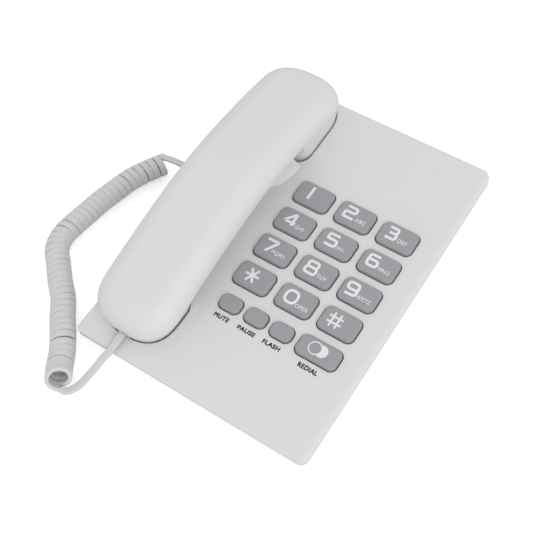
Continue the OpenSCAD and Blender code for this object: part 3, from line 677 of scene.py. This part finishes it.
def coil_stations():
    """The coil's middle line with its turns: (centre, heading, turns so far), one turn in COIL_STEPS parts."""
    line = smooth_route(COIL_ROUTE, 0.5)
    ahead = headings(line)
    length = (len(line) - 1) * 0.5
    phase = [0.0]
    for i in range(len(line) - 1):
        at = (i + 0.5) / (len(line) - 1)
        loose = sum(share * math.exp(-((at - middle) / width) ** 2) for middle, width, share in COIL_GAPS)
        phase.append(phase[-1] + 1 / (1 + loose))
    total = sizes().coil_turns + 0.5
    phase = [p * total / phase[-1] for p in phase]
    out, k = [], 0
    for i in range(round(total * COIL_STEPS) + 1):
        target = i / COIL_STEPS
        while k < len(phase) - 2 and phase[k + 1] < target:
            k += 1
        share = min(max((target - phase[k]) / (phase[k + 1] - phase[k]), 0), 1)
        out.append((line[k].lerp(line[k + 1], share), ahead[k].lerp(ahead[k + 1], share).normalized(), target,
                    (k + share) / (len(line) - 1)))
    return out


def coil_path():
    """The coiled cord's own middle line: (point, width direction), from the base's end to the handset's."""
    s = sizes()
    out = []
    for centre, ahead, turns, share in coil_stations():
        across = level_across(ahead)
        up = across.cross(ahead)
        outer = s.coil_start + (s.coil_end - s.coil_start) * share
        radius = (outer - s.cord_thickness) / MM / 2
        angle = math.radians(90) - math.tau * turns
        out.append((centre + radius * (math.cos(angle) * across + math.sin(angle) * up), ahead))
    return out


def lead_path(points, side):
    """A straight lead's middle line with its width level."""
    line = smooth_route(points, 1.0)
    return [(p, side * level_across(h)) for p, h in zip(line, headings(line))]


def cord_mesh(path):
    """A flat cord along the path, closed at both ends, with its length and girth as a UV map."""
    profile = cord_profile()
    girth = [0.0]
    for i in range(len(profile)):
        a, b = profile[i], profile[(i + 1) % len(profile)]
        girth.append(girth[-1] + math.dist(a, b))
    girth = [g / girth[-1] for g in girth]
    points = [p for p, _ in path]
    bm = bmesh.new()
    place = {}
    ring = None
    run = 0.0
    for i, ((point, width), ahead) in enumerate(zip(path, headings(points))):
        wide = (width - ahead * width.dot(ahead)).normalized()
        thick = wide.cross(ahead)
        level = [(point + wide * x + thick * y) * MM for x, y in profile]
        ring = next_ring(bm, ring, level) if ring else first_ring(bm, level)
        run += (points[i] - points[i - 1]).length * MM if i else 0.0
        for j, vertex in enumerate(ring):
            place[vertex] = (run, j)
    layer = bm.loops.layers.uv.new("cord")
    for face in bm.faces:
        near = {place[loop.vert][1] for loop in face.loops}
        wraps = 0 in near and len(profile) - 1 in near
        for loop in face.loops:
            along, j = place[loop.vert]
            loop[layer].uv = (along, girth[len(profile) if wraps and j == 0 else j])
    open_edges = [e for e in bm.edges if len(e.link_faces) == 1]
    bmesh.ops.holes_fill(bm, edges=open_edges, sides=len(profile))
    bmesh.ops.recalc_face_normals(bm, faces=bm.faces)
    return bm


def cord_piece(name, path):
    return finish_object(cord_mesh(path), name, "cord", None, smooth_angle=50)


class TELEPHONE_OT_cord(bpy.types.Operator):
    """Makes the coiled cord with its lead to the base, the lead to the handset, and their plugs"""
    bl_idname = "telephone.cord"
    bl_label = "Make the cord"

    def execute(self, context):
        coil = coil_path()
        start = lead_path(BASE_LEAD + [tuple(coil[0][0])], -1)
        end = lead_path([tuple(coil[-1][0])] + HANDSET_LEAD, 1)
        curly = start[:-1] + coil
        base_plug = dressed("base_plug", "plug", "base", 0.15 * MM)
        handset_plug = dressed("handset_plug", "plug", "handset", 0.15 * MM)

        cord = cord_piece("curly_cord", curly)
        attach(cord, "base")
        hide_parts("cord_coil", "base_lead")

        lead = cord_piece("handset_end_of_cord", end)
        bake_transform(lead)
        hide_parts("handset_lead")
        return {"FINISHED"}


class TELEPHONE_OT_handset(bpy.types.Operator):
    """Makes the handset's two shells with their openings"""
    bl_idname = "telephone.handset"
    bl_label = "Make the handset"

    def execute(self, context):
        s = sizes()
        place = deck() @ Matrix.Translation((HANDSET_X, 0, 0))
        outline = handset_outline()

        wall = s.handset_wall / MM
        turns = [math.radians(a) for a in (3, 8, 14, 21, 28, 36, 44, 52, 60, 68, 76, 83, 90)]
        levels = [upper_level(outline, a) for a in turns[::-1]] + grooved(outline, 1)[::-1]
        levels += [upper_level(outline, a, wall) for a in [0] + turns[3::3]]
        self.shell(levels, "handset_top", "handset_top_shell", place, self.plug_opening(place))

        turns = [math.radians(a) for a in (10, 22, 36, 50, 64, 77, 90)]
        levels = [lower_level(outline, 3, a) for a in turns[::-1]]
        levels += [lower_level(outline, stage, 0) for stage in (3, 2, 1.5, 1)] + grooved(outline, -1)[::-1]
        levels += [lower_level(outline, stage, 0, wall) for stage in (0, 1, 1.5, 2, 3)]
        levels += [lower_level(outline, 3, a, wall) for a in turns[2::2]]
        self.shell(levels, "handset_bottom", "handset_lower_shell", place, self.plug_opening(place),
                   self.drilled(place))
        return {"FINISHED"}

    def shell(self, levels, name, node, place, *cutters):
        piece = finish_object(closed_shell(levels), name, "case", "handset", place)
        for cutter in cutters:
            carve(piece, cutter)
        soften(piece, sizes().case_edge / 2, angle=60, segments=2)
        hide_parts(node)

    def plug_opening(self, place):
        bm = bmesh.new()
        bmesh.ops.create_cube(bm, size=1)
        bmesh.ops.scale(bm, vec=PLUG_OPENING, verts=bm.verts)
        bmesh.ops.translate(bm, vec=(0, HANDSET_FRONT, PLUG_Z), verts=bm.verts)
        bmesh.ops.transform(bm, matrix=place, verts=bm.verts)
        return bm

    def drilled(self, place):
        """The ear's and mouth's sound holes and the recesses of the four screws."""
        around = [math.radians(a) for a in range(0, 360, 60)]
        ear = [(0, EAR_Y)] + [(EAR_RING * math.cos(a), EAR_Y + EAR_RING * math.sin(a)) for a in around]
        mouth = [(x, MOUTH_Y) for x in (-MOUTH_PITCH, 0, MOUTH_PITCH)]
        bm = bmesh.new()
        for places, radius, depth in ((ear, EAR_HOLE, HOLE_DEPTH), (mouth, MOUTH_HOLE, HOLE_DEPTH),
                                      (HANDSET_SCREWS, SCREW_RECESS, SCREW_DEPTH)):
            for x, y in places:
                made = bmesh.ops.create_cone(bm, cap_ends=True, segments=28, radius1=radius, radius2=radius,
                                             depth=2 * depth)["verts"]
                bmesh.ops.translate(bm, vec=(x, y, CUP_Z), verts=made)
        bmesh.ops.transform(bm, matrix=place, verts=bm.verts)
        return bm


# ---------------------------------------------------------------- keys

def rounded_ring(width, length, radius, inset, height):
    """A rounded rectangle of the top face's frame, taken in by the inset; height is a number or a function."""
    w, l, r = width / 2 - inset, length / 2 - inset, max(radius - inset, 0.4)
    return [Vector((x, y, height(x, y) if callable(height) else height))
            for x, y in rounded_rectangle(w, l, r, KEY_CORNER_STEPS)]


def key_places():
    """Each key: name, middle, width and length, in millimetres of the top face's frame."""
    out = []
    for i, name in enumerate(KEY_NAMES):
        row, column = divmod(i, 3)
        out.append((name, KEY_FIRST[0] + column * KEY_PITCH[0], KEY_FIRST[1] - row * KEY_PITCH[1], *KEY_SIZE))
    out += [(name, x, SMALL_Y, *SMALL_SIZE) for name, x in SMALL_KEYS.items()]
    out.append(("redial", REDIAL_X, SMALL_Y, *REDIAL_SIZE))
    return out


def crown(width, length):
    """Height of a key's slightly crowned top over the top face."""
    return lambda x, y: KEY_RISE - KEY_CROWN * ((2 * x / width) ** 2 + (2 * y / length) ** 2) / 2


class TELEPHONE_OT_keys(bpy.types.Operator):
    """Makes the sixteen key caps"""
    bl_idname = "telephone.keys"
    bl_label = "Make the keys"

    def execute(self, context):
        s = sizes()
        edge, corner = s.key_edge / MM, s.key_corner / MM
        for name, x, y, width, length in key_places():
            top = crown(width, length)
            lip, lip_top = KEY_BOTTOM, KEY_BOTTOM + KEY_LIP_HEIGHT
            levels = [rounded_ring(width, length, corner, -KEY_LIP, lip),
                      rounded_ring(width, length, corner, -KEY_LIP, lip_top),
                      rounded_ring(width, length, corner, 0, lip_top),
                      rounded_ring(width, length, corner, 0, KEY_RISE - edge - KEY_CROWN)]
            for a in (12, 25, 38, 51, 64, 77, 90):
                inset, drop = edge * (1 - math.cos(math.radians(a))), edge * (1 - math.sin(math.radians(a)))
                levels.append(rounded_ring(width, length, corner, inset, lambda u, v, d=drop: top(u, v) - d))
            for inset in (edge + 1, edge + 2.2, edge + 3.2):
                levels.append(rounded_ring(width, length, corner, inset, top))
            bm = bmesh.new()
            for loop in skin(bm, levels)[::-1]:
                inside = set(loop)
                rim = [e for v in loop for e in v.link_edges if e.other_vert(v) in inside]
                bmesh.ops.holes_fill(bm, edges=list(set(rim)), sides=len(loop))
            bmesh.ops.recalc_face_normals(bm, faces=bm.faces)
            cap = finish_object(bm, "key_cap_" + name, "key", f"key_{name}_cap",
                                deck() @ Matrix.Translation((x, y, 0)), smooth_angle=40)
            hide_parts("key_" + name)
        return {"FINISHED"}


# ---------------------------------------------------------------- print on the keys and the case

def rounded_path(points, radius, closed=False):
    """The path with its corners rounded, as points."""
    p = [Vector(q) for q in points]
    count = len(p)
    out = []
    for i, corner in enumerate(p):
        if not closed and i in (0, count - 1):
            out.append(corner)
            continue
        back, on = p[i - 1] - corner, p[(i + 1) % count] - corner
        reach = min(radius, back.length / 2, on.length / 2)
        start, end = corner + back.normalized() * reach, corner + on.normalized() * reach
        for k in range(7):
            t = k / 6
            out.append((1 - t) ** 2 * start + 2 * t * (1 - t) * corner + t * t * end)
    return out


def stroke(bm, points, width, radius, closed=False, level=0.0):
    """A flat ribbon of this width along the path, in the plane of the bmesh."""
    p = rounded_path(points, radius, closed)
    p = [q for i, q in enumerate(p) if i == 0 or (q - p[i - 1]).length > 0.001]
    if closed:
        p = p + [p[0]]
    sides = []
    for i, q in enumerate(p):
        before = p[i] - p[i - 1] if i else (p[0] - p[-2] if closed else p[1] - p[0])
        after = p[i + 1] - p[i] if i < len(p) - 1 else (p[1] - p[0] if closed else p[-1] - p[-2])
        a, b = before.normalized(), after.normalized()
        mean = (a + b).normalized()
        across = Vector((-mean.y, mean.x))
        reach = width / 2 / max(mean.dot(a), 0.5)
        sides.append((q + across * reach, q - across * reach))
    edge = [bmesh.ops.create_vert(bm, co=(*side, level))["vert"][0] for side in sides[0]]
    first = list(edge)
    line = bmesh.ops.contextual_create(bm, geom=edge)["edges"]
    for pair in sides[1:]:
        edge = extruded(bm, line, edge, [(*side, level) for side in pair])
        line = [bm.edges.get(edge)]
    if closed:
        bmesh.ops.remove_doubles(bm, verts=first + edge, dist=0.001)


# Middle lines of the printed digits in a unit box, with their corner's rounding and whether they close.
GLYPHS = {
    "1": [([(0.5, 0), (0.5, 1)], 0, False)],
    "2": [([(0, 1), (1, 1), (1, 0.52), (0, 0.52), (0, 0.2)], 1.5, False),
          ([(0, 0.3), (0, 0), (1.04, 0)], 0.3, False)],
    "3": [([(0, 1), (0.96, 1), (0.96, 0.52), (0.2, 0.52)], 1.5, False),
          ([(0.2, 0.52), (1, 0.52), (1, 0), (0, 0)], 1.5, False)],
    "4": [([(0.82, -0.06), (0.82, 1.02), (0.7, 1.02), (0, 0.2), (1.08, 0.2)], 0.5, False)],
    "5": [([(1, 1), (0.04, 1), (0.04, 0.6)], 0.3, False),
          ([(-0.06, 0.56), (1, 0.56), (1, 0), (0, 0)], 1.6, False)],
    "6": [([(0.97, 1), (0, 1), (0, 0), (1, 0), (1, 0.56), (0.05, 0.56)], 1.8, False)],
    "7": [([(-0.04, 1), (1, 1), (0.3, 0)], 0.7, False)],
    "8": [([(0.06, 0.52), (0.94, 0.52), (0.94, 1), (0.06, 1)], 1.5, True),
          ([(0, 0), (1, 0), (1, 0.52), (0, 0.52)], 1.6, True)],
    "9": [([(0.03, 0), (1, 0), (1, 1), (0, 1), (0, 0.44), (0.95, 0.44)], 1.8, False)],
    "star": [([(0, 0.5), (1, 0.5)], 0, False), ([(0.24, 1), (0.76, 0)], 0, False),
             ([(0.76, 1), (0.24, 0)], 0, False)],
    "0": [([(0, 0), (1, 0), (1, 1), (0, 1)], 3.4, True)],
    "hash": [([(0.3, 0), (0.3, 1)], 0, False), ([(0.72, 0), (0.72, 1)], 0, False),
             ([(0, 0.3), (1, 0.3)], 0, False), ([(0, 0.7), (1, 0.7)], 0, False)],
}
# Where each one is printed, as left, right, front and back in millimetres of the top face's frame.
GLYPH_BOXES = {
    "1": (-9.3, -7.7, 33, 42.1), "2": (14.4, 22.4, 33, 42), "3": (42.3, 49.9, 33, 42),
    "4": (-13, -4.8, 11.9, 20.7), "5": (14.8, 23, 11.7, 20.7), "6": (42, 49.9, 11.9, 20.7),
    "7": (-13.5, -5, -10, -0.4), "8": (14.4, 22.9, -9.8, -0.4), "9": (41.1, 49.1, -9.6, -0.5),
    "star": (-12, -3.2, -30.9, -22.3), "0": (14.4, 23.2, -31.4, -22), "hash": (42.7, 51.4, -31.5, -22.3),
}
LETTERS = {
    "2": ("ABC", 23, 29.7, 33.4, 35.9), "3": ("DEF", 50.9, 56.8, 33.4, 35.9), "4": ("GHI", -4.1, 1.3, 12, 14.4),
    "5": ("JKL", 23.1, 28.6, 11.9, 14.4), "6": ("MNO", 50.8, 57.8, 12, 14.5),
    "7": ("PQRS", -6.9, 1.7, -9.2, -6.6), "8": ("TUV", 23.4, 29.6, -9.2, -6.7),
    "9": ("WXYZ", 49.2, 58.2, -9.3, -6.7), "0": ("OPER", 23.1, 31.2, -31.3, -28.8),
}
LABELS = [("MUTE", -13.3, -3.7, -58, -55.2), ("PAUSE", 2.3, 13.7, -58, -55.2), ("FLASH", 18.9, 30, -58, -55.2),
          ("REDIAL", 42.7, 55, -59.6, -56.7)]


def lettering(bm, words, left, right, front, back, weight):
    """Adds flat letters that fill the box, printed several times a little apart when they have weight."""
    text = bpy.data.curves.new("letters", "FONT")
    text.body = words
    text.resolution_u = 4
    text.space_character = 1 + weight / 2
    holder = bpy.data.objects.new("letters", text)
    bpy.context.scene.collection.objects.link(holder)
    graph = bpy.context.evaluated_depsgraph_get()
    graph.update()
    mesh = bpy.data.meshes.new_from_object(holder.evaluated_get(graph))
    bpy.data.objects.remove(holder)
    steps = (-1, 0, 1) if weight else (0,)
    shifts = [(weight * x, weight * y) for x in steps for y in steps]
    for i, (across, along) in enumerate(shifts):
        old = set(bm.verts)
        bm.from_mesh(mesh)
        fresh = [v for v in bm.verts if v not in old]
        low = [min(v.co[k] for v in fresh) for k in (0, 1)]
        high = [max(v.co[k] for v in fresh) for k in (0, 1)]
        scale = ((right - left - 2 * weight) / (high[0] - low[0]),
                 (back - front - 2 * weight) / (high[1] - low[1]))
        bmesh.ops.translate(bm, vec=(-low[0], -low[1], 0), verts=fresh)
        bmesh.ops.scale(bm, vec=(*scale, 0), verts=fresh)
        bmesh.ops.translate(bm, vec=(left + weight + across, front + weight + along, 0.003 * i), verts=fresh)
        bmesh.ops.dissolve_limit(bm, angle_limit=math.radians(1), verts=fresh,
                                 edges=list({e for v in fresh for e in v.link_edges}))


def printed(bm, name, kind, body, surface):
    """Lays flat shapes as a thin film on the surface, a height over (x, y), and makes the piece."""
    thickness = sizes().ink / MM
    under_side = list(bm.faces)
    bmesh.ops.triangulate(bm, faces=[f for f in under_side if len(f.verts) > 4])
    made = bmesh.ops.extrude_face_region(bm, geom=list(bm.faces), use_keep_orig=True)["geom"]
    upper = {g for g in made if isinstance(g, bmesh.types.BMVert)}
    for vertex in bm.verts:
        lift = thickness + vertex.co.z if vertex in upper else -0.05
        vertex.co.z = surface(vertex.co.x, vertex.co.y) + lift
    bmesh.ops.recalc_face_normals(bm, faces=bm.faces)
    return finish_object(bm, name, kind, body, deck(), smooth_angle=20)


class TELEPHONE_OT_print(bpy.types.Operator):
    """Prints the digits and letters on the keys and the words under them"""
    bl_idname = "telephone.print"
    bl_label = "Print the keys and labels"

    def execute(self, context):
        s = sizes()
        for name, x, y, width, length in key_places():
            top = crown(width, length)
            bm = bmesh.new()
            if name in GLYPHS:
                self.glyph(bm, name, s)
            if name in LETTERS:
                lettering(bm, *LETTERS[name], LETTER_WEIGHT)
            if name == "redial":
                self.redial_sign(bm)
            if not bm.verts:
                bm.free()
                continue
            printed(bm, "print_" + name, "digit", f"key_{name}_cap",
                    lambda u, v, h=top, a=x, b=y: h(u - a, v - b))
        bm = bmesh.new()
        for label in LABELS:
            lettering(bm, *label, LABEL_WEIGHT)
        printed(bm, "print_labels", "label", "base", lambda u, v: 0.0)
        return {"FINISHED"}

    def glyph(self, bm, name, s):
        left, right, front, back = GLYPH_BOXES[name]
        width = s.digit_stroke / MM * {"hash": 0.72, "star": 0.86, "1": 1.06}.get(name, 1)
        x0, x1 = (left + width / 2, right - width / 2) if name not in ("1", "star", "hash") else (left, right)
        y0, y1 = (front, back) if name in ("1", "star", "hash") else (front + width / 2, back - width / 2)
        for i, (line, radius, closed) in enumerate(GLYPHS[name]):
            points = [(x0 + (x1 - x0) * u, y0 + (y1 - y0) * v) for u, v in line]
            stroke(bm, points, width, radius, closed, STROKE_STEP * i)

    def redial_sign(self, bm):
        """A ring, and a disc that shows as a crescent behind it."""
        ring, disc, radius = Vector(REDIAL_RING), Vector(REDIAL_DISC), REDIAL_RADIUS
        around = [math.tau * k / 40 for k in range(40)]
        circle = [(ring.x + radius * math.cos(a), ring.y + radius * math.sin(a)) for a in around]
        stroke(bm, circle, REDIAL_LINE, 0.05, True)
        half = (disc.x - ring.x) / 2
        meet = math.acos(half / radius)
        outer = [(math.pi - meet) * (1 - 2 * k / 32) for k in range(33)]
        inner = [meet * (2 * k / 20 - 1) for k in range(1, 20)]
        points = [(disc.x + radius * math.cos(a), disc.y + radius * math.sin(a)) for a in outer]
        points += [(ring.x + radius * math.cos(a), ring.y + radius * math.sin(a)) for a in inner]
        rim = [bmesh.ops.create_vert(bm, co=(x, y, STROKE_STEP))["vert"][0] for x, y in points]
        bmesh.ops.contextual_create(bm, geom=rim)


# ---------------------------------------------------------------- base and hidden pieces

# The small pieces: node, finish, body, rounding of the edges in millimetres, and slot.
BASE_PIECES = [
    ("rubber_feet", "rubber", "base", 0.8, "rubber"),
    ("hook_plunger", "case", "hook", 0.3, "case_plastic"),
    ("base_cord_jack", "black", "base", 0.15, "dark_plastic"),
    ("line_jack", "black", "base", 0.15, "dark_plastic"),
    ("ringer_switch_body", "black", "base", 0.15, "dark_plastic"),
    ("ringer_switch_knob", "key", "ringer_knob", 0.25, "key_plastic"),
    ("handset_cord_jack", "black", "handset", 0.15, "dark_plastic"),
]


def draw_in_mouth_well(bm):
    """Lets the mouth well's edge run in under the handset's side at its back corner."""
    to_deck = deck().inverted()
    for vertex in bm.verts:
        p = to_deck @ vertex.co
        near = WELL_CORNER[0] - 3 < p.x < WELL_CORNER[0] + 0.4 and WELL_FRONT < p.y < WELL_CORNER[1] + 0.8
        if near and p.z > -4.1:
            p.x -= WELL_DRAW * smooth_step((p.y - WELL_FRONT) / (WELL_CORNER[1] - 0.9 - WELL_FRONT))
            vertex.co = deck() @ p


class TELEPHONE_OT_base(bpy.types.Operator):
    """Finishes the base's two cases, its feet, sockets, hook and switch"""
    bl_idname = "telephone.base"
    bl_label = "Finish the base"

    def execute(self, context):
        edge = sizes().case_edge
        dressed("top_case", "case", "base", edge, angle=40, form=draw_in_mouth_well)
        dressed("bottom_case", "case", "base", edge, angle=40)
        for node, kind, body, width, slot in BASE_PIECES:
            dressed(node, kind, body, width * MM)
        return {"FINISHED"}


FINISHES = {
    "case_screws": "steel", "board_screws": "steel", "handset_screws": "steel", "hook_spring": "steel",
    "ballast_plate": "steel", "microphone_capsule": "steel", "handset_weight": "steel", "sounder": "brass",
    "keypad_mat": "mat", "main_board": "board", "board_parts": "black", "hook_switch": "black",
    "receiver_capsule": "black", "receiver_gasket": "rubber", "microphone_boot": "rubber",
}


class TELEPHONE_OT_inside(bpy.types.Operator):
    """Gives the pieces inside the telephone their finishes"""
    bl_idname = "telephone.inside"
    bl_label = "Finish the inside"

    def execute(self, context):
        for name, kind in FINISHES.items():
            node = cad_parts[name]
            for i in range(max(len(node.material_slots), 1)):
                if i < len(node.material_slots):
                    node.material_slots[i].material = material(kind)
                else:
                    node.data.materials.append(material(kind))
        return {"FINISHED"}


# ---------------------------------------------------------------- stage

class TELEPHONE_OT_stage(bpy.types.Operator):
    """Sets up the camera, the pale floor and the soft lights"""
    bl_idname = "telephone.stage"
    bl_label = "Set the stage"

    def execute(self, context):
        scene = context.scene
        scene.view_settings.view_transform = "Standard"
        lens = bpy.data.cameras.new("camera")
        lens.lens = 67.16
        lens.sensor_width = 36
        lens.clip_start, lens.clip_end = 0.02, 20
        camera = bpy.data.objects.new("camera", lens)
        scene.collection.objects.link(camera)
        right = Vector((0.83362, 0.55233, 0.00142))
        forward = Vector((-0.32831, 0.49757, -0.80290))
        turn = Matrix((right, right.cross(forward), -forward)).transposed()
        camera.matrix_world = Matrix.Translation((0.180784, -0.298030, 0.480118)) @ turn.to_4x4()
        scene.camera = camera
        self.floor(scene)
        self.lamp(scene, "soft_lamp", (1.3, -0.9, 1.3), 1.3, 9)
        self.surroundings(scene)
        return {"FINISHED"}

    def floor(self, scene):
        finish, tree, surface = new_material("painted_board_floor", Roughness=0.9)
        surface.inputs["Base Color"].default_value = colours().floor
        ray = add(tree, "ShaderNodeLightPath")
        glow = add(tree, "ShaderNodeEmission", Color=(1, 1, 1, 1), Strength=0.5)
        both = add(tree, "ShaderNodeAddShader", n0=surface.outputs["BSDF"], n1=glow.outputs["Emission"])
        seen = add(tree, "ShaderNodeMixShader", n0=ray.outputs["Is Camera Ray"], n1=surface.outputs["BSDF"],
                   n2=both.outputs["Shader"])
        output = next(n for n in tree.nodes if n.type == "OUTPUT_MATERIAL")
        tree.links.new(seen.outputs["Shader"], output.inputs["Surface"])
        bm = bmesh.new()
        bmesh.ops.create_grid(bm, x_segments=2, y_segments=2, size=3)
        mesh = bpy.data.meshes.new("floor")
        bm.to_mesh(mesh)
        bm.free()
        mesh.materials.append(finish)
        floor = bpy.data.objects.new("floor", mesh)
        scene.collection.objects.link(floor)

    def lamp(self, scene, name, place, size, power):
        light = bpy.data.lights.new(name, "AREA")
        light.shape = "DISK"
        light.size = size
        light.energy = power
        lamp = bpy.data.objects.new(name, light)
        scene.collection.objects.link(lamp)
        lamp.location = place
        lamp.rotation_euler = (Vector((0, 0, 0.03)) - Vector(place)).to_track_quat("-Z", "Y").to_euler()

    def surroundings(self, scene):
        world = bpy.data.worlds.new("pale_room")
        scene.world = world
        world.use_nodes = True
        tree = world.node_tree
        tree.nodes.clear()
        ray = add(tree, "ShaderNodeLightPath")
        seen = add(tree, "ShaderNodeMath", {"operation": "MAXIMUM"}, n0=ray.outputs["Is Camera Ray"],
                   n1=ray.outputs["Is Transmission Ray"])
        strength = add(tree, "ShaderNodeMapRange", Value=seen.outputs["Value"], To_Min=0.8, To_Max=1.0)
        sky = add(tree, "ShaderNodeBackground", Color=(1, 1, 1, 1), Strength=strength.outputs["Result"])
        add(tree, "ShaderNodeOutputWorld", Surface=sky.outputs["Background"])


# ---------------------------------------------------------------- panel and run

OPERATORS = [TELEPHONE_OT_stage, TELEPHONE_OT_cord, TELEPHONE_OT_handset, TELEPHONE_OT_base, TELEPHONE_OT_keys,
             TELEPHONE_OT_print, TELEPHONE_OT_inside]


class TELEPHONE_PT_sizes(bpy.types.Panel):
    """Sizes and colours of the telephone, and the steps that make it"""
    bl_idname = "TELEPHONE_PT_sizes"
    bl_label = "Corded telephone"
    bl_space_type = "VIEW_3D"
    bl_region_type = "UI"
    bl_category = "Telephone"

    def draw(self, context):
        for group in (context.scene.telephone_sizes, context.scene.telephone_colours):
            column = self.layout.column()
            for name in group.__annotations__:
                column.prop(group, name)
        for operator in OPERATORS:
            self.layout.operator(operator.bl_idname)


CLASSES = [TelephoneSizes, TelephoneColours, *OPERATORS, TELEPHONE_PT_sizes]


def register():
    for cls in CLASSES:
        bpy.utils.register_class(cls)
    bpy.types.Scene.telephone_sizes = PointerProperty(type=TelephoneSizes)
    bpy.types.Scene.telephone_colours = PointerProperty(type=TelephoneColours)


def unregister():
    del bpy.types.Scene.telephone_colours
    del bpy.types.Scene.telephone_sizes
    for cls in reversed(CLASSES):
        bpy.utils.unregister_class(cls)


def main():
    register()
    bpy.ops.telephone.stage()
    bpy.ops.telephone.cord()
    bpy.ops.telephone.handset()
    bpy.ops.telephone.base()
    bpy.ops.telephone.keys()
    bpy.ops.telephone.print()
    bpy.ops.telephone.inside()


if __name__ == "__main__":
    main()
